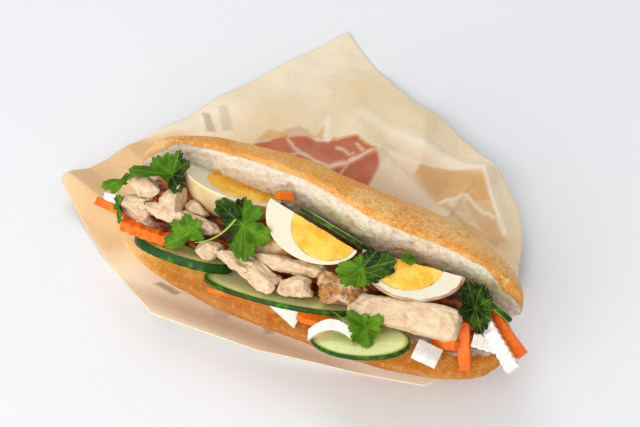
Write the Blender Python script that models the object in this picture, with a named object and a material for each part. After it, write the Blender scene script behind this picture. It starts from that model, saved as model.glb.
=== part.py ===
"""A filled baguette sandwich that lies on its spine in an open sheet of deli paper.

The frame has +X along the loaf, +Y behind it and +Z up, with its origin on the table under the middle
of the loaf. Sizes are in millimetres and are turned into metres when a mesh is made. The filling is
placed in the mouth's own frame: along the loaf, up from the lower half to the upper half, and out of
the mouth towards the eater.
"""

import math

import bmesh
import bpy
from mathutils import Euler, Matrix, Vector, noise
from mathutils.bvhtree import BVHTree

MM = 0.001

# The loaf, closed, before it is opened
LOAF_HALF_LENGTH = 119.0
LOAF_HALF_WIDTH = 38.0
LOWER_HALF_DEPTH = 33.0
UPPER_HALF_DEPTH = 32.0
END_ROUNDING_PLAN = 2.8
END_ROUNDING_HEIGHT = 2.4
SECTION_SQUARENESS = 2.25
CRUST_RELIEF = 0.7
CRUST_RELIEF_LENGTH = 17.0
LOAF_RINGS = 23
LOAF_SIDES = 26

# The cut along its side, and how far the halves are laid open
CUT_DEPTH = -20.0
CUT_WIDTH = 0.8
CRUMB_RELIEF = 1.3
CRUMB_RELIEF_LENGTH = 9.0
LOWER_LIP = (18.0, 9.0)
UPPER_LIP = (12.0, 5.0)
LOWER_OPENING = 40.0
UPPER_OPENING = 40.0
UPPER_CLOSING_RIGHT = 14.0
UPPER_SAG = (34.0, 38.0, 7.0)
UPPER_DIP = (-8.0, 32.0, -0.5)
UPPER_BULGE = (72.0, 34.0, 3.5)
RIGID_SECTOR = math.radians(55.0)

# How the opened loaf lies
MOUTH_ELEVATION = 52.0
SPINE = (0.0, 1.0, 45.7)

# The filling
CONTACT_GAP = 0.3
EGG_HALF_LENGTH = 29.0
EGG_RADIUS = 20.6
YOLK_HALF_LENGTH = 19.5
YOLK_RADIUS = 15.4
LEAF_THICKNESS = 0.5
LEAF_CLEARANCE = 0.9
STEM_RADIUS = 0.7

# The paper
PAPER_THICKNESS = 0.5
PAPER_COLUMNS = 23
PAPER_ROWS = 16

COLOURS = {
    "crust": ((0.80, 0.48, 0.19), 0.55),
    "paper": ((0.80, 0.67, 0.48), 0.6),
    "egg_white": ((0.93, 0.89, 0.79), 0.35),
    "egg_yolk": ((0.96, 0.66, 0.12), 0.6),
    "cucumber": ((0.45, 0.62, 0.25), 0.35),
    "carrot": ((0.95, 0.38, 0.05), 0.4),
    "radish": ((0.93, 0.92, 0.89), 0.35),
    "chicken": ((0.86, 0.72, 0.60), 0.5),
    "herb": ((0.12, 0.36, 0.06), 0.45),
    "pickles": ((0.85, 0.42, 0.18), 0.5),
}


def clear_scene():
    for obj in list(bpy.data.objects):
        bpy.data.objects.remove(obj, do_unlink=True)


def material(name):
    found = bpy.data.materials.get(name)
    if found:
        return found
    colour, roughness = COLOURS[name]
    made = bpy.data.materials.new(name)
    made.use_nodes = True
    shader = made.node_tree.nodes["Principled BSDF"]
    shader.inputs["Base Color"].default_value = (*colour, 1.0)
    shader.inputs["Roughness"].default_value = roughness
    shader.inputs["Metallic"].default_value = 0.0
    made.diffuse_color = (*colour, 1.0)
    return made


def add_object(name, bm, finish, parent=None, place=(0, 0, 0), turn=(0, 0, 0)):
    """Make an object from a bmesh in millimetres, placed in its parent's frame; turn is in degrees."""
    bmesh.ops.recalc_face_normals(bm, faces=bm.faces)
    if bm.calc_volume(signed=True) < 0:
        bmesh.ops.reverse_faces(bm, faces=bm.faces)
    bmesh.ops.transform(bm, matrix=Matrix.Scale(MM, 4), verts=bm.verts)
    mesh = bpy.data.meshes.new(name)
    bm.to_mesh(mesh)
    bm.free()
    obj = bpy.data.objects.new(name, mesh)
    bpy.context.scene.collection.objects.link(obj)
    obj.parent = parent
    obj.location = Vector(place) * MM
    obj.rotation_euler = Euler([math.radians(a) for a in turn])
    mesh.materials.append(material(finish))
    mesh.shade_smooth()
    return obj


def superellipse(t, exponent):
    return max(0.0, 1 - abs(t) ** exponent) ** (1 / exponent)


def smoothstep(t):
    t = min(1.0, max(0.0, t))
    return t * t * (3 - 2 * t)


def bump(along, shape):
    """A smooth rise round one place along the loaf; shape is its place, its reach and its height."""
    centre, reach, height = shape
    return height * math.exp(-(((along - centre) / reach) ** 2))


def loft(rings, first_pole=None, last_pole=None):
    """A closed skin over rings of points, with each end drawn to a pole or filled flat."""
    bm = bmesh.new()
    made = [[bm.verts.new(p) for p in ring] for ring in rings]
    count = len(made[0])
    for a, b in zip(made, made[1:]):
        for k in range(count):
            bm.faces.new((a[k], a[(k + 1) % count], b[(k + 1) % count], b[k]))
    for ring, pole in ((made[0], first_pole), (made[-1], last_pole)):
        if pole is None:
            bm.faces.new(ring)
            continue
        tip = bm.verts.new(pole)
        for k in range(count):
            bm.faces.new((ring[k], ring[(k + 1) % count], tip))
    return bm


# The bread


def opening_angles(along):
    """How far the lower and the upper half are turned back at this place along the loaf, in radians."""
    share = along / LOAF_HALF_LENGTH
    lower = LOWER_OPENING + 3.0 * smoothstep(share)
    upper = UPPER_OPENING - UPPER_CLOSING_RIGHT * max(0.0, share + 0.15) ** 1.3
    upper -= bump(along, UPPER_SAG)
    return math.radians(lower), math.radians(upper)


def opened(along, out, up, side):
    """Where a point of the closed loaf goes when the halves fold back about the foot of the cut."""
    lower, upper = opening_angles(along)
    turn = upper if side > 0 else lower
    reach = out - CUT_DEPTH
    angle = abs(math.atan2(up, reach))
    if angle > RIGID_SECTOR:
        turn *= 1 - smoothstep((angle - RIGID_SECTOR) / (math.pi - RIGID_SECTOR))
    radius = math.hypot(reach, up)
    angle = side * (angle + turn)
    return Vector((along, radius * math.sin(angle), CUT_DEPTH + radius * math.cos(angle)))


def closed_loaf():
    """The uncut loaf: rings of a squarish oval that shrink to rounded ends."""
    rings = []
    for i in range(1, LOAF_RINGS):
        along = -LOAF_HALF_LENGTH * math.cos(math.pi * i / LOAF_RINGS)
        width = LOAF_HALF_WIDTH * superellipse(along / LOAF_HALF_LENGTH, END_ROUNDING_PLAN)
        rise = superellipse(along / LOAF_HALF_LENGTH, END_ROUNDING_HEIGHT)
        ring = []
        for k in range(LOAF_SIDES):
            angle = 2 * math.pi * (k + 0.5) / LOAF_SIDES
            c, s = math.cos(angle), math.sin(angle)
            depth = LOWER_HALF_DEPTH
            if s > 0:
                depth = UPPER_HALF_DEPTH + bump(along, UPPER_DIP) + bump(along, UPPER_BULGE)
            power = 2 / SECTION_SQUARENESS
            out = width * math.copysign(abs(c) ** power, c)
            up = depth * rise * math.copysign(abs(s) ** power, s)
            swell = 1 + CRUST_RELIEF / 30 * noise.noise(Vector((along, up, out)) / CRUST_RELIEF_LENGTH)
            ring.append((along, up * swell, out * swell))
        rings.append(ring)
    return loft(rings, (-LOAF_HALF_LENGTH, 0, 0), (LOAF_HALF_LENGTH, 0, 0))


def lip_drop(along, out, face):
    """How far the crust rounds away from the cut near its rim, where the loaf was slit above its middle."""
    reach, drop = UPPER_LIP if face > 0 else LOWER_LIP
    width = LOAF_HALF_WIDTH * superellipse(along / LOAF_HALF_LENGTH, END_ROUNDING_PLAN)
    share = min(1.2, max(0.0, (out - width + reach) / reach))
    return drop * share * share


def cut_slab():
    """The knife's path: a thin slab with the torn crumb's hollows, which opens out at the rounded lips."""
    bm = bmesh.new()
    columns, rows = 24, 10
    margin = 6.0
    length = 2 * (LOAF_HALF_LENGTH + margin)
    depth = LOAF_HALF_WIDTH + margin - CUT_DEPTH
    sides = []
    for face in (-1, 1):
        grid = []
        for i in range(columns + 1):
            along = -length / 2 + length * i / columns
            line = []
            for j in range(rows + 1):
                out = CUT_DEPTH + depth * j / rows
                spot = Vector((along, out, 40.0 * face)) / CRUMB_RELIEF_LENGTH
                hollow = CRUMB_RELIEF * (0.5 + 0.5 * noise.noise(spot))
                half = CUT_WIDTH / 2 + hollow + lip_drop(along, out, face)
                line.append(bm.verts.new((along, face * half, out)))
            grid.append(line)
        sides.append(grid)
    low, high = sides
    for i in range(columns):
        for j in range(rows):
            bm.faces.new((low[i][j], low[i + 1][j], low[i + 1][j + 1], low[i][j + 1]))
            bm.faces.new((high[i][j], high[i][j + 1], high[i + 1][j + 1], high[i + 1][j]))
    border = [(i, 0) for i in range(columns)] + [(columns, j) for j in range(rows)]
    border += [(i, rows) for i in range(columns, 0, -1)] + [(0, j) for j in range(rows, 0, -1)]
    for (a, b), (c, d) in zip(border, border[1:] + border[:1]):
        bm.faces.new((low[a][b], high[a][b], high[c][d], low[c][d]))
    return bm


def apply_boolean(obj, cutter, operation):
    """Join or cut with another object, keep the largest body that is left, and remove the other object."""
    modifier = obj.modifiers.new("boolean", "BOOLEAN")
    modifier.operation = operation
    modifier.object = cutter
    modifier.solver = "EXACT"
    bpy.context.view_layer.update()
    graph = bpy.context.evaluated_depsgraph_get()
    mesh = bpy.data.meshes.new_from_object(obj.evaluated_get(graph), depsgraph=graph)
    obj.modifiers.remove(modifier)
    old, name = obj.data, obj.data.name
    obj.data = mesh
    bpy.data.meshes.remove(old)
    mesh.name = name
    bpy.data.objects.remove(cutter, do_unlink=True)
    keep_largest_body(mesh)


def keep_largest_body(mesh):
    for merge in (0.02, 0.005, 0.001):
        bm = bmesh.new()
        bm.from_mesh(mesh)
        bmesh.ops.remove_doubles(bm, verts=bm.verts, dist=merge * MM)
        bmesh.ops.dissolve_degenerate(bm, edges=bm.edges, dist=merge * MM)
        bmesh.ops.triangulate(bm, faces=bm.faces)
        if all(edge.is_manifold for edge in bm.edges):
            break
    bodies, seen = [], set()
    for start in bm.verts:
        if start in seen:
            continue
        body, queue = [], [start]
        seen.add(start)
        while queue:
            vert = queue.pop()
            body.append(vert)
            for edge in vert.link_edges:
                other = edge.other_vert(vert)
                if other not in seen:
                    seen.add(other)
                    queue.append(other)
        bodies.append(body)
    bodies.sort(key=len, reverse=True)
    loose = [vert for body in bodies[1:] for vert in body]
    bmesh.ops.delete(bm, geom=loose, context="VERTS")
    bm.to_mesh(mesh)
    bm.free()


def build_bread(mouth):
    bread = add_object("bread", closed_loaf(), "crust", mouth)
    slab = add_object("knife_cut", cut_slab(), "crust", mouth)
    apply_boolean(bread, slab, "DIFFERENCE")
    for vert in bread.data.vertices:
        along, up, out = vert.co / MM
        side = 1 if up > 0 else -1
        vert.co = opened(along, out, up, side) * MM
    return bread


# The filling


def mass(size, detail, squareness, roughness, seed, bend=0.0, taper=0.0):
    """A torn or sliced lump: a squared-off ball stretched to size, bent along its length and roughened."""
    bm = bmesh.new()
    bmesh.ops.create_icosphere(bm, subdivisions=detail, radius=1.0)
    shift = Vector((seed * 7.3, seed * 3.1, seed * 5.7))
    half = Vector(size) / 2
    for vert in bm.verts:
        p = vert.co.copy()
        p /= sum(abs(c) ** squareness for c in p) ** (1 / squareness)
        narrow = 1 + taper * p.x
        p = Vector((p.x * half.x, p.y * half.y * narrow, p.z * half.z * narrow))
        p.y += bend * (p.x / half.x) ** 2
        p += p.normalized() * roughness * noise.noise(p / 6.0 + shift)
        vert.co = p
    return bm


def egg_profile(half_length, radius, centre, count):
    """Points over one side of an egg's outline, from one end to the other, as (along, radius)."""
    points = []
    for k in range(count + 1):
        angle = math.pi * (1 - k / count)
        blunt = 1 - 0.1 * math.cos(angle)
        points.append((centre + half_length * math.cos(angle), radius * math.sin(angle) * blunt))
    return points


def spun(outline, wedge, trim=None):
    """A wedge turned from an outline about its X axis, with one flat face to +Z; trim cuts it off at +Y."""
    bm = bmesh.new()
    verts = [bm.verts.new((a, -r, 0)) for a, r in outline]
    face = bm.faces.new(verts)
    bmesh.ops.spin(
        bm,
        geom=[face, *face.edges, *face.verts],
        cent=(0, 0, 0),
        axis=(1, 0, 0),
        angle=math.radians(wedge),
        steps=round(wedge / 15),
    )
    bmesh.ops.remove_doubles(bm, verts=bm.verts, dist=0.005)
    bmesh.ops.dissolve_degenerate(bm, edges=bm.edges, dist=0.005)
    if trim is not None:
        bmesh.ops.triangulate(bm, faces=bm.faces)
        geometry = [*bm.verts, *bm.edges, *bm.faces]
        cut = bmesh.ops.bisect_plane(
            bm,
            geom=geometry,
            dist=1e-4,
            plane_co=(0, trim, 0),
            plane_no=(0, 1, 0),
            clear_outer=True,
        )
        rim = [e for e in cut["geom_cut"] if isinstance(e, bmesh.types.BMEdge)]
        bmesh.ops.holes_fill(bm, edges=rim, sides=0)
    return bm


def build_egg(name, mouth, bread, place, turn, wedge, yolk_centre, trim=None):
    """An egg wedge: the white round its yolk, turned from their outlines, pressed a little into the crumb."""
    yolk = egg_profile(YOLK_HALF_LENGTH, YOLK_RADIUS, yolk_centre, 11)
    gap = CONTACT_GAP
    hollow = egg_profile(YOLK_HALF_LENGTH + gap, YOLK_RADIUS + gap, yolk_centre, 11)
    shell = egg_profile(EGG_HALF_LENGTH, EGG_RADIUS, 0, 13)
    whole = spun(shell, wedge, trim)
    dent = inflated(add_object("dent", whole, "egg_white", mouth, place, turn), 1.2 * gap)
    bpy.data.objects.remove(bpy.data.objects["dent"], do_unlink=True)
    apply_boolean(bread, dent, "DIFFERENCE")
    ring = spun(shell + hollow[::-1], wedge, trim)
    white = add_object(f"{name}_white", ring, "egg_white", mouth, place, turn)
    core = add_object(f"{name}_yolk", spun(yolk, wedge, trim), "egg_yolk", mouth, place, turn)
    return [white, core]


def slice_disc(half_length, half_width, thickness):
    """A cucumber slice cut on the slant: an oval with softened edges."""
    steps = 26
    edge = 0.5
    rings = []
    for height, inset in ((-0.5, edge), (-0.2, 0), (0.2, 0), (0.5, edge)):
        ring = []
        for k in range(steps):
            a = 2 * math.pi * k / steps
            x, y = (half_length - inset) * math.cos(a), (half_width - inset) * math.sin(a)
            ring.append((x, y, height * thickness))
        rings.append(ring)
    return loft(rings)


def stick(length, width, height, waves=0, bend=0.0, taper=0.0, pieces=10):
    """A cut stick along X, with crinkled faces where it has waves."""
    rings = []
    for i in range(pieces + 1):
        share = i / pieces
        x = length * (share - 0.5)
        crinkle = 0.5 * math.cos(2 * math.pi * waves * share) if waves else 0.0
        sag = bend * (2 * share - 1) ** 2
        ring = []
        for sy, sz in ((-1, -1), (1, -1), (1, 1), (-1, 1)):
            y = sy * width / 2 * (1 - taper * share)
            ring.append((x, y + sag, sz * height / 2 + crinkle))
        rings.append(ring)
    return loft(rings)


def inflated(obj, gap):
    """A copy of an object's evaluated mesh grown by the gap, to cut its neighbours with."""
    bpy.context.view_layer.update()
    bm = bmesh.new()
    bm.from_mesh(obj.data)
    bmesh.ops.transform(bm, matrix=obj.matrix_world, verts=bm.verts)
    bm.normal_update()
    moves = [(v, v.normal.copy()) for v in bm.verts]
    for vert, normal in moves:
        vert.co += normal * gap * MM
    mesh = bpy.data.meshes.new("grown")
    bm.to_mesh(mesh)
    bm.free()
    grown = bpy.data.objects.new("grown", mesh)
    bpy.context.scene.collection.objects.link(grown)
    return grown


def world_box(obj):
    bpy.context.view_layer.update()
    points = [obj.matrix_world @ v.co for v in obj.data.vertices]
    low = Vector([min(p[i] for p in points) for i in range(3)])
    high = Vector([max(p[i] for p in points) for i in range(3)])
    return low, high


def boxes_meet(a, b, margin):
    (a_low, a_high), (b_low, b_high) = world_box(a), world_box(b)
    return all(a_low[i] - margin < b_high[i] and b_low[i] - margin < a_high[i] for i in range(3))


def world_tree(obj):
    bpy.context.view_layer.update()
    points = [obj.matrix_world @ v.co for v in obj.data.vertices]
    obj.data.calc_loop_triangles()
    faces = [tuple(t.vertices) for t in obj.data.loop_triangles]
    return BVHTree.FromPolygons(points, faces)


def fit_to(obj, neighbours, gap=CONTACT_GAP):
    """Press a soft piece against the firmer ones it lies on: what would cross them is taken away."""
    for other in neighbours:
        if not boxes_meet(obj, other, gap * MM):
            continue
        grown = inflated(other, gap)
        if world_tree(obj).overlap(world_tree(grown)):
            apply_boolean(obj, grown, "DIFFERENCE")
        else:
            bpy.data.objects.remove(grown, do_unlink=True)
    return obj


CHICKEN = {
    # name: (place, turn, size, squareness, roughness, bend, taper, detail)
    "chicken_slab_right": ((63, -13.4, 26), (-12, -5, 8), (63, 16, 13), 6.5, 1.0, 0.0, 0.2, 3),
    "chicken_lump_middle": ((23, -12.5, 27), (0, 0, 12), (30, 16, 17), 2.8, 2.8, 0.0, 0.0, 3),
    "chicken_lump_front": ((2, -19.5, 28), (0, 0, 20), (22, 12, 12), 2.8, 2.4, 0.0, 0.1, 2),
    "chicken_strip_middle": ((-24, -18.5, 27), (0, 0, -13), (48, 12, 13), 2.8, 2.4, -1.0, -0.1, 3),
    "chicken_strip_left": ((-73, -5, 27), (0, 3, -3), (50, 9.5, 12), 2.8, 1.8, -1.0, 0.2, 3),
    "chicken_lump_left": ((-99.5, -7.5, 27), (0, 0, 14), (23, 14, 14), 2.6, 2.4, 0.0, 0.0, 2),
    "chicken_strip_back": ((-2.5, -9, 25), (0, 0, 10), (52, 9, 9), 2.8, 1.0, 1.0, 0.0, 2),
    "chicken_cube_left": ((-99.5, 4.5, 27), (0, 8, -12), (19, 12, 14), 7.0, 0.8, 0.0, 0.0, 2),
    "chicken_wedge_left": ((-80.5, 5, 29), (0, 0, 75), (16, 13, 13), 3.8, 0.8, 0.0, -0.45, 2),
    "chicken_cube_middle": ((-52.5, -17, 25), (0, 0, 14), (15, 10, 12), 7.0, 0.8, 0.0, 0.0, 2),
    "chicken_bit_left": ((-68, 1.5, 21), (0, 0, -20), (16, 10, 12), 3.0, 1.5, 0.0, 0.0, 2),
    "chicken_dark_middle": ((-22, -4, 18), (0, 0, 8), (30, 15, 14), 3.0, 1.5, 0.0, 0.0, 2),
}

STICKS = {
    # name: (finish, place, turn, length, width, height, waves, bend)
    "carrot_stick_left_end": ("carrot", (-118.3, -13.7, 15), (0, 0, -4), 24, 5.0, 4.5, 0, 0),
    "carrot_crinkle_left": ("carrot", (-89, -19.5, 26), (30, 6, 0), 34, 6.5, 5.5, 6, 0.5),
    "carrot_stick_back": ("carrot", (-23, 25.5, 20), (0, 48, 14), 10, 5, 4.5, 0, 0),
    "carrot_stick_under_left": ("carrot", (-31.5, -34.6, 18), (-34, 0, 7), 34, 5.0, 4.5, 0, 0),
    "carrot_stick_under_right": ("carrot", (15.4, -33.3, 18), (-40, 0, 4), 19, 6.5, 5, 0, 0),
    "carrot_stick_small_right": ("carrot", (88.7, -21.2, 20), (0, -20, 14), 14, 5.5, 5.0, 0, 0),
    "carrot_stick_hanging": ("carrot", (97.8, -18.8, 15.5), (0, 14, -70), 27, 7.5, 5, 0, 0),
    "carrot_stick_right_end": ("carrot", (117.6, -5, 17.5), (0, -14, -33), 29, 6.5, 5.5, 0, 0),
    "radish_stick_left_end": ("radish", (-115.3, -8.2, 15), (0, 0, 4), 22, 5, 5.0, 0, 0),
    "radish_shard_middle": ("radish", (-4.2, -33.2, 18.5), (8, 0, 174), 23, 15, 3.4, 0, 0),
    "radish_curl_middle": ("radish", (28, -31.4, 30.5), (-12, 0, 20), 25, 6, 4.0, 0, -6),
    "radish_cube_right": ("radish", (81.7, -28.9, 25), (-32, 8, -6), 14, 9, 8.0, 0, 0),
    "radish_stick_right_inner": ("radish", (111, -13.4, 16), (0, -8, 4), 19, 7.5, 6, 5, 0),
    "radish_stick_right_end": ("radish", (116.8, -11.6, 25.5), (0, -14, -38), 31, 7.5, 5.5, 8, 0),
}

# How much narrower a stick is at its far end, as a share of its width
TAPERS = {"radish_shard_middle": 0.85, "carrot_stick_hanging": 0.2}

CUCUMBERS = {
    # name: (place of the centre, turn, half length, half width, thickness)
    "cucumber_slice_left": ((-70.6, -23.8, 13.0), (-72.8, 3.6, 1.2), 30.2, 15, 6.0),
    "cucumber_slice_middle": ((-6.6, -26.3, 15.5), (-68.2, 1.4, 7.5), 47.4, 16, 3.4),
    "cucumber_slice_right": ((44.6, -34.5, 25.3), (-59, -12, 12), 29.5, 18, 3.0),
    "cucumber_slice_back": ((9, 17.6, 18.5), (-95, 0, -11.4), 22, 9, 2.4),
    "cucumber_slice_right_end": ((101, 8.5, 17.5), (-97, 0, -20), 18, 9, 3.0),
}


def build_eggs(mouth, bread):
    left = build_egg("egg_left", mouth, bread, (-55, 22.2, 12.5), (-70, 0, -4), 180, 4, 9)
    middle = build_egg("egg_middle", mouth, bread, (0.4, 16.6, 30), (-2, -3, -11.4), 84, 7.5)
    right = build_egg("egg_right", mouth, bread, (59.8, 14.8, 29), (-6, 2, 3.8), 84, -3.5)
    return left + middle + right


def build_cucumbers(mouth):
    made = []
    for name, (place, turn, half_length, half_width, thickness) in CUCUMBERS.items():
        disc = slice_disc(half_length, half_width, thickness)
        made.append(add_object(name, disc, "cucumber", mouth, place, turn))
    return made


def build_sticks(mouth):
    made = []
    for name, (finish, place, turn, length, width, height, waves, bend) in STICKS.items():
        pieces = 2 * waves if waves else 6
        shape = stick(length, width, height, waves, bend, TAPERS.get(name, 0.0), pieces)
        made.append(add_object(name, shape, finish, mouth, place, turn))
    return made


def build_chicken(mouth):
    made = []
    for seed, (name, spec) in enumerate(CHICKEN.items(), 1):
        place, turn, size, squareness, roughness, bend, taper, detail = spec
        lump = mass(size, detail, squareness, roughness, seed, bend, taper)
        made.append(add_object(name, lump, "chicken", mouth, place, turn))
    return made


def build_pickle_bed(mouth):
    """The shredded pickles that fill the foot of the cut and line the lower half, as one heap."""
    reach_front, bed, level = 43.0, 4.4, 8.0
    stations = 13
    half = 103.0
    clear = 2.3
    rings = []
    for i in range(stations):
        along = -half + 2 * half * i / (stations - 1)
        lower, upper = opening_angles(along)
        shrink = superellipse(along / (half + 10), 3.0)
        front = reach_front * shrink - 2.0
        down = Vector((0, -math.sin(lower), math.cos(lower)))
        lift = Vector((0, math.cos(lower), math.sin(lower)))
        back = Vector((0, math.sin(upper), math.cos(upper)))
        press = Vector((0, -math.cos(upper), math.sin(upper)))
        foot = Vector((along, 0, CUT_DEPTH))
        top = level - CUT_DEPTH
        ring = [foot + down * (6 + (front - 6) * t) + lift * clear for t in (0, 0.35, 0.7, 1)]
        ring += [foot + down * (front * t) + lift * (clear + bed) for t in (1.0, 0.82, 0.64)]
        ring += [
            foot + Vector((0, -0.35 * top, top)),
            foot + Vector((0, 0.0, top + 2)),
            foot + Vector((0, 0.35 * top, top)),
        ]
        ring += [foot + back * (6 + (top - 8) * t) + press * clear for t in (1, 0.5, 0)]
        lumpy = []
        for k, p in enumerate(ring):
            rise = 1.1 * noise.noise(p / 5.0) if 4 <= k <= 9 else 0.0
            lumpy.append(p + Vector((0, 0, rise)))
        rings.append(lumpy)
    return add_object("pickled_vegetables", loft(rings), "pickles", mouth)


# The herbs


def leaf_reach(angle, core, lobes):
    """How far a leaf's edge is from its heart at this angle in degrees: the furthest of its lobes."""
    best = core
    for heading, reach, half_width in lobes:
        away = abs((angle - heading + 180) % 360 - 180) / half_width
        if away < 1:
            best = max(best, reach * math.cos(away * math.pi / 2) ** 0.45)
    return best


def leaf_points(heart, core, spokes, lobes, rings=2):
    """A leaf's points in the (along, up) plane, ring by ring out from its heart, and its faces."""
    base = Vector(heart)
    points = [base]
    faces = []
    for r in range(1, rings + 1):
        for s in range(spokes):
            angle = 360 * s / spokes
            tooth = 0.92 if s % 2 and r == rings else 1.0
            reach = leaf_reach(angle, core, lobes) * tooth * r / rings
            turn = math.radians(angle)
            points.append(base + Vector((reach * math.cos(turn), reach * math.sin(turn))))
    for s in range(spokes):
        ahead = (s + 1) % spokes
        faces.append((0, 1 + s, 1 + ahead))
        for r in range(rings - 1):
            a, b = 1 + r * spokes + s, 1 + r * spokes + ahead
            faces.append((a, a + spokes, b + spokes))
            faces.append((a, b + spokes, b))
    return points, faces


def surface_height(trees, mouth_to_world, along, up, spread=1.5):
    """How far out of the mouth the food reaches at this spot, taking the highest of a few rays."""
    best = None
    direction = (mouth_to_world.to_3x3() @ Vector((0, 0, -1))).normalized()
    for dx, dy in ((0, 0), (spread, 0), (-spread, 0), (0, spread), (0, -spread)):
        start = mouth_to_world @ (Vector((along + dx, up + dy, 90.0)) * MM)
        for tree in trees:
            hit = tree.ray_cast(start, direction)
            if hit[0] is not None:
                out = 90.0 - hit[3] / MM
                best = out if best is None else max(best, out)
    return best


def draped_leaf(points, faces, floor, lowest, curl):
    """Let a leaf settle on what lies under it, as a slack skin that never sinks below the floor."""
    heights = [lowest if f is None or f < lowest else f for f in floor]
    links = [set() for _ in points]
    for face in faces:
        for a in face:
            links[a].update(b for b in face if b != a)
    limit = list(heights)
    for _ in range(30):
        for i, near in enumerate(links):
            mean = sum(heights[j] for j in near) / len(near)
            heights[i] = max(limit[i], mean)
    foot = points[0]
    reach = max((p - foot).length for p in points)
    return [
        h + LEAF_CLEARANCE + curl * ((p - foot).length / reach) ** 2
        for p, h in zip(points, heights)
    ]


def leaf_solid(points, faces, heights):
    """A thin solid with both faces split into triangles alike."""
    bm = bmesh.new()
    half = LEAF_THICKNESS / 2
    top = [bm.verts.new((p.x, p.y, h + half)) for p, h in zip(points, heights)]
    low = [bm.verts.new((p.x, p.y, h - half)) for p, h in zip(points, heights)]
    border = {}
    for a, b, c in faces:
        bm.faces.new((top[a], top[b], top[c]))
        bm.faces.new((low[c], low[b], low[a]))
        for e in ((a, b), (b, c), (c, a)):
            border[e] = border.get(e, 0) + 1
    for a, b in border:
        if (b, a) not in border:
            bm.faces.new((top[b], top[a], low[a], low[b]))
    return bm


# Each lobe of a leaf: its heading in degrees, its reach and its half width in degrees
LEAF_LEFT = (
    (-168, 24, 17),
    (158, 15, 36),
    (118, 13, 34),
    (86, 15.5, 24),
    (54, 13.5, 34),
    (8, 9, 44),
    (-30, 14, 34),
)
LEAF_LEFT_END = ((-147, 15, 26), (-120, 11, 22), (33, 9, 32), (85, 5, 36))
LEAF_SMALL = ((141, 7, 44), (63, 6.5, 44), (-62, 11.5, 44), (-143, 5.5, 44))
LEAF_MIDDLE_LEFT = ((-137, 18.5, 30), (178, 13.5, 34), (124, 11, 38), (66, 9.5, 38), (-6, 8.5, 44))
LEAF_MIDDLE = (
    (157, 20, 38),
    (104, 16, 36),
    (62, 15, 34),
    (-8, 19, 42),
    (-60, 21, 36),
    (-94, 15, 30),
    (-165, 12.5, 40),
)
LEAF_RIGHT = (
    (-160, 14, 43),
    (-126, 13, 43),
    (-84, 10, 49),
    (-40, 10, 49),
    (0, 13, 46),
    (33, 20.5, 46),
    (68, 14, 46),
    (112, 8.5, 54),
    (163, 8, 54),
)
LEAF_RIGHT_END = (
    (124, 14.5, 49),
    (90, 13.5, 43),
    (48, 11, 46),
    (12, 10, 40),
    (-20, 11, 43),
    (-54, 14.5, 43),
    (-90, 10, 49),
    (-140, 8, 54),
    (175, 8, 54),
)
LEAF_FRONT = (
    (160, 14, 26),
    (112, 8, 44),
    (48, 12, 36),
    (14, 9, 36),
    (-60, 11, 40),
    (-110, 10, 40),
    (-160, 9, 36),
)

LEAVES = {
    # name: (heart, core, spokes, lowest level, curl, lobes as heading, reach and half width)
    "coriander_leaf_left": ((-88, 16), 5, 32, 25, 0.8, LEAF_LEFT),
    "coriander_leaf_left_end": ((-114, 4), 2.5, 22, 23, 0.5, LEAF_LEFT_END),
    "coriander_leaf_small_left": ((-112, -10), 3, 18, 20, 0.5, LEAF_SMALL),
    "coriander_leaf_middle_left": ((-64, -10), 5, 28, 26, 1.0, LEAF_MIDDLE_LEFT),
    "coriander_leaf_middle": ((-38, 3), 7, 36, 26, 1.2, LEAF_MIDDLE),
    "coriander_leaf_right": ((34, 2), 6, 32, 30, 1.0, LEAF_RIGHT),
    "coriander_leaf_right_end": ((98, 3), 6, 30, 22, 0.6, LEAF_RIGHT_END),
    "coriander_leaf_front": ((46.5, -26.5), 4, 28, 28, 0.6, LEAF_FRONT),
    "coriander_leaf_back": ((56, 16), 2.5, 12, 22, 0.2, ((170, 4.5, 80), (-15, 4.5, 80))),
}

STEMS = {
    "coriander_stem_middle": [(-58.9, -14.7), (-52, -10.9), (-46.8, -5.3), (-43.2, 0.1), (-41.1, 5.4)],
    "coriander_stem_front": [(26.7, -24.1), (31.0, -25.0), (35.5, -26.2), (39.6, -27.6)],
}


def build_leaves(mouth, food):
    trees = [world_tree(obj) for obj in food]
    matrix = mouth.matrix_world.copy()
    made = []
    for name, (heart, core, spokes, lowest, curl, lobes) in LEAVES.items():
        points, faces = leaf_points(heart, core, spokes, lobes)
        floor = [surface_height(trees, matrix, p.x, p.y) for p in points]
        heights = draped_leaf(points, faces, floor, lowest, curl)
        leaf = add_object(name, leaf_solid(points, faces, heights), "herb", mouth)
        made.append(leaf)
        trees.append(world_tree(leaf))
    return made


def build_stems(mouth, food):
    """The pale stalks, each lying on what is under it."""
    trees = [world_tree(obj) for obj in food]
    matrix = mouth.matrix_world.copy()
    made = []
    for name, route in STEMS.items():
        heights = [surface_height(trees, matrix, x, y, 2.2) or 26 for x, y in route]
        crest = max(heights)
        rings = []
        for (x, y), h in zip(route, heights):
            centre = Vector((x, y, max(h, crest - 3.0) + STEM_RADIUS + 0.7))
            ring = []
            for k in range(6):
                a = 2 * math.pi * k / 6
                ring.append(centre + STEM_RADIUS * Vector((math.cos(a), 0, math.sin(a))))
            rings.append(ring)
        made.append(add_object(name, loft(rings), "herb", mouth))
    return made


# The paper


def edge_point(corners, share):
    """A point at this share of a polyline's length."""
    lengths = [(b - a).length for a, b in zip(corners, corners[1:])]
    left = share * sum(lengths)
    for a, b, length in zip(corners, corners[1:], lengths):
        if left <= length or b is corners[-1]:
            return a.lerp(b, min(1.0, left / length))
        left -= length
    return corners[-1]


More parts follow.
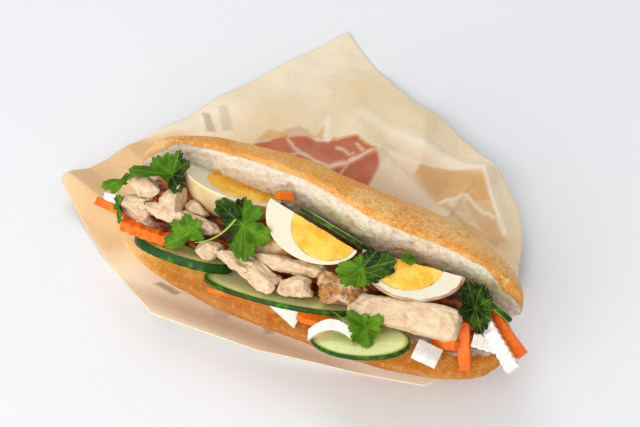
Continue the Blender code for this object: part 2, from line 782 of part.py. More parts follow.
PAPER_LEFT = Vector((-176, 10))
PAPER_TIP = Vector((-70, 209))
PAPER_RIGHT = Vector((98, 82))
PAPER_FRONT_RIGHT = Vector((80, -28))
PAPER_FRONT = [PAPER_LEFT, Vector((-134, -20)), Vector((-82, -51)), Vector((-16, -49)), PAPER_FRONT_RIGHT]
PAPER_BACK = [
    PAPER_TIP,
    Vector((-22, 173)),
    Vector((24, 150)),
    Vector((49, 133)),
    Vector((74, 116)),
    Vector((89, 100)),
    PAPER_RIGHT,
]
PAPER_SIDE_LEFT = [PAPER_LEFT, Vector((-142, 80)), PAPER_TIP]
PAPER_SIDE_RIGHT = [PAPER_FRONT_RIGHT, Vector((102, 2)), Vector((109, 36)), PAPER_RIGHT]

# The fold that stands up behind the loaf, as points with their heights
RIDGE = [
    (Vector((-112, 70)), 3.0),
    (Vector((-74, 99)), 10.0),
    (Vector((-52, 99)), 17.0),
    (Vector((-37, 101)), 15.0),
    (Vector((-20, 109)), 22.0),
    (Vector((-2, 99)), 26.0),
    (Vector((25, 99)), 24.0),
    (Vector((60, 110)), 22.0),
    (Vector((76, 92)), 17.0),
    (Vector((97, 70)), 12.0),
]
RIDGE_FRONT_REACH = 34.0
RIDGE_BACK_REACH = 78.0

CREASES = [
    # (start, end, height at the start, height at the end, reach)
    (Vector((-2, 99)), Vector((2, 58)), 4.0, 8.0, 12),
    (Vector((60, 110)), Vector((48, 72)), 0.0, 9.0, 12),
    (Vector((-37, 101)), Vector((-46, 66)), -3.0, 5.0, 10),
    (Vector((-20, 109)), Vector((-58, 150)), 0.0, 3.0, 18),
    (Vector((25, 99)), Vector((10, 148)), 3.0, 7.0, 22),
    (Vector((60, 110)), Vector((66, 124)), 2.0, 5.0, 16),
    (Vector((-172, 14)), Vector((-126, 8)), 8.0, 2.0, 15),
    (Vector((-150, 52)), Vector((-118, 40)), 3.0, 5.0, 16),
]


def nearest_on(start, end, point):
    line = end - start
    share = min(1.0, max(0.0, (point - start).dot(line) / line.length_squared))
    return share, point - start.lerp(end, share)


def ridge_height(point):
    """The standing fold falls away steeply to the loaf in front of it and slowly to the table behind."""
    best = None
    for (a, rise_a), (b, rise_b) in zip(RIDGE, RIDGE[1:]):
        share, away = nearest_on(a, b, point)
        behind = (b - a).cross(away) > 0
        if best is None or away.length < best[0]:
            best = (away.length, rise_a + (rise_b - rise_a) * share, behind)
    distance, rise, behind = best
    reach = RIDGE_BACK_REACH if behind else RIDGE_FRONT_REACH
    return rise * max(0.0, 1 - distance / reach)


def crease_height(point, crease):
    start, end, rise_a, rise_b, reach = crease
    share, away = nearest_on(start, end, point)
    return (rise_a + (rise_b - rise_a) * share) * max(0.0, 1 - away.length / reach)


def paper_height(point):
    """The height of the sheet's underside over the table; it is flat under the loaf."""
    x, y = point
    free = max(smoothstep((y - 38) / 20), smoothstep((-112 - x) / 24))
    rise = ridge_height(point) + sum(crease_height(point, c) for c in CREASES)
    rise += 1.5 + 2.2 * noise.noise(Vector((x, y, 0)) / 26.0)
    front = 6.0 * smoothstep((-30 - y) / 20) * smoothstep((60 - x) / 40)
    left = 8.0 * smoothstep((-136 - x) / 40)
    return front + left + free * max(0.0, rise)


def build_paper():
    """One sheet: flat under the loaf, lifted behind it and creased towards its corners."""
    bm = bmesh.new()
    top, low = [], []
    for j in range(PAPER_ROWS + 1):
        v = j / PAPER_ROWS
        left, right = edge_point(PAPER_SIDE_LEFT, v), edge_point(PAPER_SIDE_RIGHT, v)
        for i in range(PAPER_COLUMNS + 1):
            u = i / PAPER_COLUMNS
            front, back = edge_point(PAPER_FRONT, u), edge_point(PAPER_BACK, u)
            p = front.lerp(back, v) + left.lerp(right, u)
            corners = PAPER_LEFT.lerp(PAPER_FRONT_RIGHT, u).lerp(PAPER_TIP.lerp(PAPER_RIGHT, u), v)
            p -= corners
            z = paper_height(p)
            low.append(bm.verts.new((p.x, p.y, z)))
            top.append(bm.verts.new((p.x, p.y, z + PAPER_THICKNESS)))
    step = PAPER_COLUMNS + 1
    for j in range(PAPER_ROWS):
        for i in range(PAPER_COLUMNS):
            a = j * step + i
            for tri in ((a, a + 1, a + step + 1), (a, a + step + 1, a + step)):
                bm.faces.new([top[k] for k in tri])
                bm.faces.new([low[k] for k in reversed(tri)])
    border = list(range(step)) + [j * step + PAPER_COLUMNS for j in range(1, PAPER_ROWS + 1)]
    border += [PAPER_ROWS * step + i for i in range(PAPER_COLUMNS - 1, -1, -1)]
    border += [j * step for j in range(PAPER_ROWS - 1, 0, -1)]
    for a, b in zip(border, border[1:] + border[:1]):
        bm.faces.new((top[b], top[a], low[a], low[b]))
    return add_object("paper_wrap", bm, "paper")


def build_sandwich():
    clear_scene()
    mouth = bpy.data.objects.new("mouth", None)
    bpy.context.scene.collection.objects.link(mouth)
    mouth.location = Vector(SPINE) * MM
    mouth.rotation_euler = (math.radians(90 - MOUTH_ELEVATION), 0, 0)
    bpy.context.view_layer.update()
    bread = build_bread(mouth)
    placed = [bread, *build_eggs(mouth, bread)]
    soft = build_cucumbers(mouth) + build_sticks(mouth) + build_chicken(mouth)
    soft.append(build_pickle_bed(mouth))
    for obj in soft:
        fit_to(obj, placed)
        placed.append(obj)
    leaves = build_leaves(mouth, placed)
    build_stems(mouth, placed + leaves)
    build_paper()


build_sandwich()
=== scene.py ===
"""Dresses the packed sandwich: the loaf, its filling and herbs, the deli paper, and the studio round them.

Sizes are in millimetres and become metres when a mesh is written. The filling is placed in the mouth's
own frame: along the loaf, up from the lower half to the upper half, and out of the mouth.
"""

from __future__ import annotations

import logging
import math
from collections.abc import Sequence
from dataclasses import dataclass, field
from enum import Enum

import bpy
import numpy as np
from mathutils import Euler, Matrix, Vector, noise
from mathutils.bvhtree import BVHTree


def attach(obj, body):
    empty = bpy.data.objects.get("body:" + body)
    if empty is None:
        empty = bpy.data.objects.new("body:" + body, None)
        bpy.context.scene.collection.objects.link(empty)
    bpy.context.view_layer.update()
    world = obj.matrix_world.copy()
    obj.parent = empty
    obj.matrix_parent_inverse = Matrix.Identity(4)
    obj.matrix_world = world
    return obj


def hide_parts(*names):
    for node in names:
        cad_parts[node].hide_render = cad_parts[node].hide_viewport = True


Piece = bpy.types.Object
Material = bpy.types.Material
Socket = bpy.types.NodeSocket
Look = tuple[Socket, Socket | None]
Spot = Sequence[float]
Outline = list[tuple[float, float]]

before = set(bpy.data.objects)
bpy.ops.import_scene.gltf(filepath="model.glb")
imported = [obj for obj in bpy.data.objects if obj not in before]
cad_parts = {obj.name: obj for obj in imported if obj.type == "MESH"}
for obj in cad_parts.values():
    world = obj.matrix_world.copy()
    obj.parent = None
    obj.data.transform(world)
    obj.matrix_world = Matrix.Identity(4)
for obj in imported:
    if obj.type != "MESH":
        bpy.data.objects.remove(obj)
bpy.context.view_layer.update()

MM = 0.001
LOG = logging.getLogger("sandwich")
MOUTH = Matrix.Translation(Vector((0.0, 1.0, 45.7))) @ Matrix.Rotation(math.radians(38), 4, "X")


# Numbers


def smoothstep(t: np.ndarray | float) -> np.ndarray | float:
    """Ease from 0 to 1."""
    t = np.clip(t, 0.0, 1.0)
    return t * t * (3 - 2 * t)


def bump(along: np.ndarray, centre: float, reach: float, height: float) -> np.ndarray:
    """A smooth rise round one place along the loaf."""
    return height * np.exp(-(((along - centre) / reach) ** 2))


def superellipse(t: np.ndarray, exponent: float) -> np.ndarray:
    """The height of a squared-off circle at t."""
    return np.maximum(0.0, 1 - np.abs(t) ** exponent) ** (1 / exponent)


def ripple(points: np.ndarray, size: float | Sequence[float], seed: float = 0.0) -> np.ndarray:
    """Smooth noise at many points.

    Args:
        points: Rows of x, y, z in millimetres.
        size: The size of the noise's lumps, or one size for each axis.
        seed: Moves the pattern.

    Returns:
        One value for each point, mostly between -1 and 1.
    """
    scaled = points / np.asarray(size) + np.array((seed, 1.7 * seed, -seed))
    return np.array([noise.noise(Vector(p)) for p in scaled.tolist()])


def nearest_on(start: Spot, end: Spot, points: np.ndarray) -> tuple[np.ndarray, np.ndarray]:
    """The share along a segment nearest to each point, and the way from there to it.

    Args:
        start: The segment's start.
        end: Its end.
        points: Rows of x, y.

    Returns:
        The share at each point, and the way as x, y.
    """
    start = np.asarray(start, float)
    line = np.asarray(end, float) - start
    share = np.clip(((points - start) @ line) / (line @ line), 0, 1)
    return share, points - (start + share[:, None] * line)


def line_mask(points: np.ndarray, route: Sequence[Spot], width: float) -> np.ndarray:
    """1 on a route through the plane, fading to 0 beyond its width.

    Args:
        points: Rows of x, y.
        route: The route's corners.
        width: Its half width in millimetres.

    Returns:
        The mask at each point.
    """
    best = np.zeros(len(points))
    for start, end in zip(route, route[1:]):
        away = nearest_on(start, end, points)[1]
        best = np.maximum(best, np.exp(-((np.hypot(*away.T) / width) ** 2)))
    return best


def field_mask(points: np.ndarray, corners: Sequence[Spot], soft: float) -> np.ndarray:
    """1 inside a polygon in the plane, easing to 0 over its edge.

    Args:
        points: Rows of x, y.
        corners: The polygon's corners in order.
        soft: How wide the edge is, in millimetres.

    Returns:
        The mask at each point.
    """
    x, y = points.T
    inside = np.zeros(len(points), bool)
    distance = np.full(len(points), 1e9)
    for (ax, ay), (bx, by) in zip(corners, (*corners[1:], corners[0])):
        crosses = (ay > y) != (by > y)
        inside ^= crosses & (x < ax + (y - ay) * (bx - ax) / ((by - ay) or 1e-9))
        away = nearest_on((ax, ay), (bx, by), points)[1]
        distance = np.minimum(distance, np.hypot(*away.T))
    return smoothstep(np.where(inside, distance, -distance) / soft + 0.5)


def srgb(code: str) -> tuple[float, float, float, float]:
    """A linear colour from its six hexadecimal digits.

    Args:
        code: The digits: red, green and blue.

    Returns:
        Red, green, blue and an alpha of 1.
    """
    parts = [int(code[i : i + 2], 16) / 255 for i in (0, 2, 4)]
    linear = [c / 12.92 if c <= 0.04045 else ((c + 0.055) / 1.055) ** 2.4 for c in parts]
    return (*linear, 1.0)


def placed(place: Spot, turn: Spot) -> Matrix:
    """The matrix of a piece of the filling, from its place and turn (in degrees) in the mouth."""
    return MOUTH @ Matrix.Translation(place) @ Euler([math.radians(a) for a in turn]).to_matrix().to_4x4()


# Meshes


def select_only(obj: Piece) -> None:
    """Make one object the only selected and active one.

    Args:
        obj: The object.
    """
    bpy.ops.object.select_all(action="DESELECT")
    obj.select_set(True)
    bpy.context.view_layer.objects.active = obj


def primitive(kind: str, name: str, **settings: object) -> Piece:
    """Add one of Blender's mesh primitives.

    Args:
        kind: The primitive, as its operator names it, such as grid.
        name: The new object's name.
        **settings: Passed to the operator.

    Returns:
        The new object.
    """
    bpy.ops.object.select_all(action="DESELECT")
    getattr(bpy.ops.mesh, f"primitive_{kind}_add")(**settings)
    obj = bpy.context.active_object
    obj.name = obj.data.name = name
    return obj


def modify(obj: Piece, kind: str, **settings: object) -> None:
    """Add one modifier to an object and apply it.

    Args:
        obj: The object.
        kind: The modifier's type.
        **settings: Its properties.
    """
    select_only(obj)
    modifier = obj.modifiers.new(kind.lower(), kind)
    for key, value in settings.items():
        setattr(modifier, key, value)
    bpy.ops.object.modifier_apply(modifier=modifier.name)


def edit(obj: Piece, *steps: tuple[str, dict[str, object]]) -> None:
    """Run edit-mode operators on a whole mesh.

    Args:
        obj: The object to edit.
        *steps: The operators' names, each with its settings.
    """
    select_only(obj)
    bpy.ops.object.mode_set(mode="EDIT")
    bpy.ops.mesh.select_all(action="SELECT")
    for name, settings in steps:
        getattr(bpy.ops.mesh, name)(**settings)
    bpy.ops.object.mode_set(mode="OBJECT")


def points_of(obj: Piece, what: str = "co") -> np.ndarray:
    """The vertices of a mesh, as rows: their places in millimetres, or their normals.

    Args:
        obj: The object.
        what: co for the places, or else normal.

    Returns:
        One row for each vertex.
    """
    count = len(obj.data.vertices)
    flat = np.empty(count * 3, np.float32)
    if what == "co":
        obj.data.vertices.foreach_get("co", flat)
        return flat.reshape(-1, 3).astype(float) / MM
    obj.data.vertex_normals.foreach_get("vector", flat)
    return flat.reshape(-1, 3).astype(float)


def move_points(obj: Piece, points: np.ndarray) -> None:
    """Put the vertices of a mesh at these places, in millimetres."""
    obj.data.vertices.foreach_set("co", (np.asarray(points, float) * MM).astype(np.float32).ravel())
    obj.data.update()


def relief(obj: Piece, amount: np.ndarray) -> None:
    """Push each vertex out along its normal by so many millimetres."""
    move_points(obj, points_of(obj) + points_of(obj, "normal") * amount[:, None])


def turned(points: np.ndarray, matrix: Matrix) -> np.ndarray:
    """The rows moved by a matrix."""
    grid = np.array(matrix)
    return points @ grid[:3, :3].T + grid[:3, 3]


def paint(obj: Piece, name: str, values: np.ndarray) -> None:
    """Store one number for each vertex, for a material to read."""
    layer = obj.data.attributes.new(name, "FLOAT", "POINT")
    layer.data.foreach_set("value", np.asarray(values, np.float32))


def cad_copy(node: str, name: str) -> Piece:
    """A copy of a CAD node, with its loose triangles merged.

    Args:
        node: The node's name.
        name: The copy's name.

    Returns:
        The copy.
    """
    obj = bpy.data.objects.new(name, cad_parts[node].data.copy())
    obj.data.materials.clear()
    bpy.context.scene.collection.objects.link(obj)
    edit(obj, ("remove_doubles", {"threshold": 0.00002}))
    return obj


def skinned(obj: Piece, voxel: float, smoothing: int = 2) -> None:
    """Give an object one even, fine skin.

    Args:
        obj: The object.
        voxel: The size of the skin's faces in millimetres.
        smoothing: How often it is smoothed.
    """
    modify(obj, "REMESH", mode="VOXEL", voxel_size=voxel * MM, use_smooth_shade=True)
    if smoothing:
        modify(obj, "SMOOTH", factor=0.5, iterations=smoothing)


def dress(obj: Piece, finish: Material, slot: str, *nodes: str) -> None:
    """Finish a piece: its material, smooth faces, its body and the nodes it stands for.

    Args:
        obj: The piece.
        finish: Its material.
        slot: The record's material slot; not used.
        *nodes: The CAD nodes that it replaces.
    """
    obj.data.materials.clear()
    obj.data.materials.append(finish)
    obj.data.shade_smooth()
    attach(obj, "root")
    if nodes:
        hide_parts(*nodes)
    LOG.info("%s: %d faces, %s", obj.name, len(obj.data.polygons), finish.name)


# Shader nodes


class Graph:
    """Adds shader nodes to a tree and links them."""

    def __init__(self, tree: bpy.types.NodeTree) -> None:
        """Work on this tree."""
        self.tree = tree

    def node(self, kind: str, inputs: dict | None = None, **settings: object) -> bpy.types.Node:
        """Add a node.

        Args:
            kind: The node's type, without ShaderNode.
            inputs: Values or sockets for its inputs.
            **settings: Its properties.

        Returns:
            The node.
        """
        made = self.tree.nodes.new(f"ShaderNode{kind}")
        for key, value in settings.items():
            setattr(made, key, value)
        for key, value in (inputs or {}).items():
            if isinstance(value, Socket):
                self.tree.links.new(value, made.inputs[key])
            else:
                made.inputs[key].default_value = value
        return made

    def place(self) -> Socket:
        """The object's own coordinates."""
        return self.node("TexCoord").outputs["Object"]

    def attribute(self, name: str) -> Socket:
        """A number stored on the mesh."""
        return self.node("Attribute", attribute_name=name).outputs["Fac"]

    def mix(self, share: object, a: object, b: object) -> Socket:
        """Two colours mixed by a share."""
        return self.node("Mix", {0: share, 6: a, 7: b}, data_type="RGBA").outputs[2]

    def math(self, operation: str, a: object, b: object = 0.0) -> Socket:
        """Two numbers combined, kept between 0 and 1."""
        return self.node("Math", {0: a, 1: b}, operation=operation, use_clamp=True).outputs[0]

    def ease(self, value: object, low: object, high: object) -> Socket:
        """A smooth step of a value, from 0 at low to 1 at high."""
        ends = {"Value": value, "From Min": low, "From Max": high}
        return self.node("MapRange", ends, interpolation_type="SMOOTHSTEP").outputs["Result"]

    def noise(self, place: Socket, size: float, detail: float = 3.0, rough: float = 0.55) -> Socket:
        """Noise with lumps of this size in millimetres."""
        settings = {"Vector": place, "Scale": 1 / (size * MM), "Detail": detail, "Roughness": rough}
        return self.node("TexNoise", settings).outputs["Fac"]

    def stretched(self, place: Socket, scale: Spot) -> Socket:
        """Coordinates scaled along their axes."""
        return self.node("Mapping", {"Vector": place, "Scale": scale}).outputs[0]

    def bump(self, height: Socket, distance: float, normal: Socket | None = None) -> Socket:
        """Raise the surface by a height.

        Args:
            height: The height, from 0 to 1.
            distance: How far it raises the surface, in millimetres.
            normal: The normal of another bump that lies below this one.

        Returns:
            The bumped normal.
        """
        inputs = {"Height": height, "Distance": distance * MM, "Strength": 1.0}
        if normal is not None:
            inputs["Normal"] = normal
        return self.node("Bump", inputs).outputs[0]

    def effect(self, name: str, **inputs: object) -> Socket:
        """Place one of the shared effects.

        Args:
            name: The effect's name.
            **inputs: Values or sockets for its inputs, named in small letters.

        Returns:
            Its mask or height.
        """
        made = self.tree.nodes.new("ShaderNodeGroup")
        made.node_tree = bpy.data.node_groups[name]
        for key, value in inputs.items():
            socket = made.inputs[key.replace("_", " ").capitalize()]
            if isinstance(value, Socket):
                self.tree.links.new(value, socket)
            else:
                socket.default_value = value
        return made.outputs[0]


@dataclass
class Effect:
    """A shared effect, made as a group of shader nodes with one number as its output."""

    name: str
    output: str
    inputs: dict[str, float | None]

    def start(self) -> tuple[Graph, bpy.types.NodeOutputs]:
        """Make the group with its inputs, where None stands for a vector.

        Returns:
            The graph to fill, and what the group is given.
        """
        tree = bpy.data.node_groups.new(self.name, "ShaderNodeTree")
        for key, value in self.inputs.items():
            kind = "NodeSocketVector" if value is None else "NodeSocketFloat"
            socket = tree.interface.new_socket(key, in_out="INPUT", socket_type=kind)
            if value is not None:
                socket.default_value = value
        tree.interface.new_socket(self.output, in_out="OUTPUT", socket_type="NodeSocketFloat")
        return Graph(tree), tree.nodes.new("NodeGroupInput").outputs

    def end(self, graph: Graph, result: Socket) -> None:
        """Link the group's output."""
        graph.tree.links.new(result, graph.tree.nodes.new("NodeGroupOutput").inputs[self.output])


def make_patches() -> None:
    """Soft patches: noise between a low and a high level."""
    effect = Effect("patches", "Mask", {"Place": None, "Scale": 40.0, "Low": 0.4, "High": 0.6})
    graph, given = effect.start()
    settings = {"Vector": given["Place"], "Scale": given["Scale"], "Detail": 4.0, "Roughness": 0.55}
    soft = graph.node("TexNoise", settings).outputs["Fac"]
    effect.end(graph, graph.ease(soft, given["Low"], given["High"]))


def make_specks() -> None:
    """Specks of many sizes, each in a cell of its own."""
    effect = Effect("specks", "Mask", {"Place": None, "Scale": 400.0, "Size": 0.25})
    graph, given = effect.start()
    cells = graph.node("TexVoronoi", {"Vector": given["Place"], "Scale": given["Scale"]})
    chance = graph.node("SeparateColor", {"Color": cells.outputs["Color"]}).outputs[0]
    radius = graph.node("Math", {0: given["Size"], 1: chance}, operation="MULTIPLY").outputs[0]
    inside = graph.node("Math", {0: radius, 1: cells.outputs["Distance"]}, operation="SUBTRACT").outputs[0]
    effect.end(graph, graph.math("MULTIPLY", inside, 12.0))


def make_grain() -> None:
    """A fine uneven height for bumps."""
    effect = Effect("grain", "Height", {"Place": None, "Scale": 900.0, "Coarseness": 0.5})
    graph, given = effect.start()
    settings = {"Vector": given["Place"], "Scale": given["Scale"], "Detail": 5.0}
    settings["Roughness"] = given["Coarseness"]
    effect.end(graph, graph.node("TexNoise", settings).outputs["Fac"])


# Finishes


@dataclass(frozen=True)
class Finish:
    """A material: the numbers that are the same all over, and what its nodes paint."""

    name: str
    roughness: float = 0.5
    specular: float = 0.5
    subsurface: float = 0.0
    depth: float = 2.0
    tint: tuple[float, float, float] = (1.0, 0.5, 0.3)

    def make(self) -> Material:
        """Make the material.

        Returns:
            The material, with its nodes.
        """
        material = bpy.data.materials.new(self.name)
        material.use_nodes = True
        shader = material.node_tree.nodes["Principled BSDF"]
        shader.inputs["Roughness"].default_value = self.roughness
        shader.inputs["Specular IOR Level"].default_value = self.specular
        shader.inputs["Subsurface Weight"].default_value = self.subsurface
        shader.inputs["Subsurface Scale"].default_value = self.depth * MM
        shader.inputs["Subsurface Radius"].default_value = self.tint
        colour, normal = self.paint(Graph(material.node_tree))
        material.node_tree.links.new(colour, shader.inputs["Base Color"])
        if normal is not None:
            material.node_tree.links.new(normal, shader.inputs["Normal"])
        return material

    def paint(self, graph: Graph) -> Look:
        """The colour and the normal of the finish."""
        raise NotImplementedError


@dataclass(frozen=True)
class BreadFinish(Finish):
    """A crust browned in baking with flour-light flecks, and the porous crumb inside it; painted shade
    darkens the crust's underside and the crumb's pores, and a painted highlight lightens the crust's top.
    """

    pale: str = "F4BC6C"
    golden: str = "EC9C3A"
    # Bake brown, which on the underside also stands for painted shade.
    brown: str = "AE5C0C"
    crumb: str = "FFF5E2"
    crumb_shade: str = "FAE8CA"
    # Painted shade in the crumb's pores and holes.
    hollow: str = "D3A468"
    toasted: str = "C8782A"
    fleck: str = "FCDCA2"
    # Flour at the left end, and a painted highlight on the top.
    dusted: str = "FBD396"
    blotch: str = "EDB060"

    def paint(self, graph: Graph) -> Look:
        """The crust and crumb colours with their grain, painted shade on the crust's underside and in the
        crumb's pores, and a painted highlight on the crust's top.

        Args:
            graph: The material's graph.

        Returns:
            The colour, and the normal.
        """
        place = graph.place()
        broad = graph.effect("patches", place=place, scale=34.0, low=0.4, high=0.62)
        colour = graph.mix(broad, srgb(self.golden), srgb(self.pale))
        fine = graph.effect("patches", place=place, scale=430.0, low=0.46, high=0.66)
        colour = graph.mix(graph.math("MULTIPLY", fine, 0.42), colour, srgb(self.toasted))
        flecks = graph.effect("specks", place=place, scale=760.0, size=0.62)
        flecked = graph.math("MULTIPLY", flecks, graph.attribute("flecked"))
        colour = graph.mix(flecked, colour, srgb(self.fleck))
        # Paler: flour at the left end, and a painted highlight on the top.
        colour = graph.mix(graph.attribute("pale"), colour, srgb(self.dusted))
        # Painted shade on the crust's underside, over its browner bake, and darker rims and cracks.
        colour = graph.mix(graph.attribute("baked"), colour, srgb(self.brown))
        blotches = graph.effect("patches", place=place, scale=300.0, low=0.5, high=0.66)
        colour = graph.mix(graph.math("MULTIPLY", blotches, 0.38), colour, srgb(self.blotch))
        grey = graph.effect("patches", place=place, scale=90.0, low=0.4, high=0.7)
        inside = graph.mix(grey, srgb(self.crumb), srgb(self.crumb_shade))
        # Painted shade in the crumb's pores, and in the pores and holes that the mesh marks.
        pores = graph.effect("patches", place=place, scale=480.0, low=0.5, high=0.68)
        inside = graph.mix(graph.math("MULTIPLY", pores, 0.34), inside, srgb(self.hollow))
        inside = graph.mix(graph.attribute("hollow"), inside, srgb(self.hollow))
        crumb = graph.attribute("crumb")
        colour = graph.mix(crumb, colour, inside)
        grain = graph.effect("grain", place=place, scale=950.0, coarseness=0.65)
        normal = graph.bump(grain, 1.0)
        open_pores = graph.noise(place, 2.4, 4.0, 0.7)
        depth = graph.math("MULTIPLY", open_pores, crumb)
        return colour, graph.bump(depth, 1.5, normal)


@dataclass(frozen=True)
class EggWhiteFinish(Finish):
    """Boiled egg white, with the tan that stock leaves on its outside."""

    white: str = "D9D4C2"
    ivory: str = "DFD3B4"
    tan: str = "8E5212"
    shell: str = "FAE4B0"

    def paint(self, graph: Graph) -> Look:
        """Ivory with a stain that the mesh places.

        Args:
            graph: The material's graph.

        Returns:
            The colour, and the normal.
        """
        place = graph.place()
        soft = graph.effect("patches", place=place, scale=60.0, low=0.35, high=0.65)
        colour = graph.mix(soft, srgb(self.white), srgb(self.ivory))
        colour = graph.mix(graph.attribute("shell"), colour, srgb(self.shell))
        colour = graph.mix(graph.attribute("stain"), colour, srgb(self.tan))
        grain = graph.effect("grain", place=place, scale=700.0, coarseness=0.5)
        return colour, graph.bump(grain, 0.12)


@dataclass(frozen=True)
class YolkFinish(Finish):
    """Hard yolk: crumbly and warm, deeper towards its middle."""

    pale: str = "FACC58"
    warm: str = "F2B234"
    deep: str = "E99C1C"
    crumbs: str = "FBDD92"

    def paint(self, graph: Graph) -> Look:
        """Warm yellow with pale crumbs and fine streaks.

        Args:
            graph: The material's graph.

        Returns:
            The colour, and the normal.
        """
        place = graph.place()
        soft = graph.effect("patches", place=place, scale=95.0, low=0.36, high=0.66)
        colour = graph.mix(soft, srgb(self.warm), srgb(self.pale))
        crumbs = graph.effect("patches", place=place, scale=480.0, low=0.5, high=0.72)
        colour = graph.mix(graph.math("MULTIPLY", crumbs, 0.3), colour, srgb(self.crumbs))
        colour = graph.mix(graph.attribute("core"), colour, srgb(self.deep))
        grain = graph.effect("grain", place=place, scale=800.0, coarseness=0.7)
        return colour, graph.bump(grain, 0.5)


@dataclass(frozen=True)
class ChickenFinish(Finish):
    """Poached chicken: pale fibres, pinkish patches, browned edges and painted shade in its creases."""

    cream: str = "E2C8A2"
    pink: str = "CF9F82"
    brown: str = "B47A36"
    light: str = "EFDDBF"
    # Painted shade in the creases.
    creased: str = "C08E68"
    dark: str = "4E2F2A"

    def paint(self, graph: Graph) -> Look:
        """Cream with pink patches and painted shade in the creases, browned where the mesh says, and fibres.

        Args:
            graph: The material's graph.

        Returns:
            The colour, and the normal.
        """
        place = graph.place()
        soft = graph.effect("patches", place=place, scale=110.0, low=0.45, high=0.66)
        colour = graph.mix(graph.math("MULTIPLY", soft, 0.6), srgb(self.cream), srgb(self.pink))
        light = graph.effect("patches", place=place, scale=260.0, low=0.5, high=0.7)
        colour = graph.mix(graph.math("MULTIPLY", light, 0.55), colour, srgb(self.light))
        colour = graph.mix(graph.attribute("browned"), colour, srgb(self.brown))
        colour = graph.mix(graph.attribute("crease"), colour, srgb(self.creased))
        colour = graph.mix(graph.attribute("dark"), colour, srgb(self.dark))
        fibres = graph.noise(graph.stretched(place, (0.3, 1.6, 1.6)), 1.5, 4.0, 0.6)
        torn = graph.noise(place, 6.0, 1.5, 0.5)
        return colour, graph.bump(torn, 2.2, graph.bump(fibres, 0.6))


@dataclass(frozen=True)
class CucumberFinish(Finish):
    """A cucumber slice: dark skin, a pale band under it and wet flesh with seeds."""

    skin: str = "184406"
    skin_light: str = "3F760F"
    flesh: str = "EDF2AE"
    core: str = "DEE88E"
    under_skin: str = "A9BE52"
    seed: str = "E6E6B6"

    def paint(self, graph: Graph) -> Look:
        """Skin and flesh by how far out a point lies in the slice.

        Args:
            graph: The material's graph.

        Returns:
            The colour, and the normal.
        """
        place = graph.place()
        out = graph.attribute("out")
        streaks = graph.effect("patches", place=place, scale=160.0, low=0.5, high=0.7)
        skin = graph.mix(streaks, srgb(self.skin), srgb(self.skin_light))
        colour = graph.mix(graph.ease(out, 0.45, 0.72), srgb(self.core), srgb(self.flesh))
        colour = graph.mix(graph.ease(out, 0.86, 0.93), colour, srgb(self.under_skin))
        colour = graph.mix(graph.attribute("seed"), colour, srgb(self.seed))
        colour = graph.mix(graph.ease(out, 0.935, 0.965), colour, skin)
        grain = graph.effect("grain", place=place, scale=420.0, coarseness=0.6)
        return colour, graph.bump(grain, 0.25)


@dataclass(frozen=True)
class RootFinish(Finish):
    """Cut carrot or white radish: one colour that deepens in patches, with a wet grain."""

    light: str = "F68218"
    deep: str = "EC6202"

    def paint(self, graph: Graph) -> Look:
        """Two close colours in patches.

        Args:
            graph: The material's graph.

        Returns:
            The colour, and the normal.
        """
        place = graph.place()
        soft = graph.effect("patches", place=place, scale=170.0, low=0.35, high=0.68)
        colour = graph.mix(soft, srgb(self.deep), srgb(self.light))
        grain = graph.effect("grain", place=place, scale=600.0, coarseness=0.6)
        return colour, graph.bump(grain, 0.25)


@dataclass(frozen=True)
class HerbFinish(Finish):
    """Coriander: mid green leaves with lighter veins, and pale stalks."""

    leaf: str = "406E08"
    dark: str = "0E2402"
    vein: str = "A4C24C"
    young: str = "5A8810"

    def paint(self, graph: Graph) -> Look:
        """Green by patches, veins and shade that the mesh places.

        Args:
            graph: The material's graph.

        Returns:
            The colour, and the normal.
        """
        place = graph.place()
        soft = graph.effect("patches", place=place, scale=150.0, low=0.35, high=0.65)
        colour = graph.mix(soft, srgb(self.leaf), srgb(self.young))
        colour = graph.mix(graph.attribute("shade"), colour, srgb(self.dark))
        colour = graph.mix(graph.attribute("vein"), colour, srgb(self.vein))
        grain = graph.effect("grain", place=place, scale=800.0, coarseness=0.5)
        return colour, graph.bump(grain, 0.18)


@dataclass(frozen=True)
class PickleFinish(Finish):
    """The heap below: shredded carrot and radish in the dark of the mouth."""

    shadow: str = "5A2A12"
    orange: str = "CE5A1E"
    pale: str = "B7885C"

    def paint(self, graph: Graph) -> Look:
        """Orange and pale shreds over brown shade.

        Args:
            graph: The material's graph.

        Returns:
            The colour, and the normal.
        """
        place = graph.place()
        along = graph.stretched(place, (0.35, 1.2, 1.2))
        shreds = graph.effect("patches", place=along, scale=260.0, low=0.46, high=0.54)
        colour = graph.mix(shreds, srgb(self.shadow), srgb(self.orange))
        pale = graph.effect("patches", place=place, scale=110.0, low=0.55, high=0.62)
        colour = graph.mix(graph.math("MULTIPLY", pale, 0.6), colour, srgb(self.pale))
        grain = graph.effect("grain", place=place, scale=500.0, coarseness=0.6)
        return colour, graph.bump(grain, 0.6)


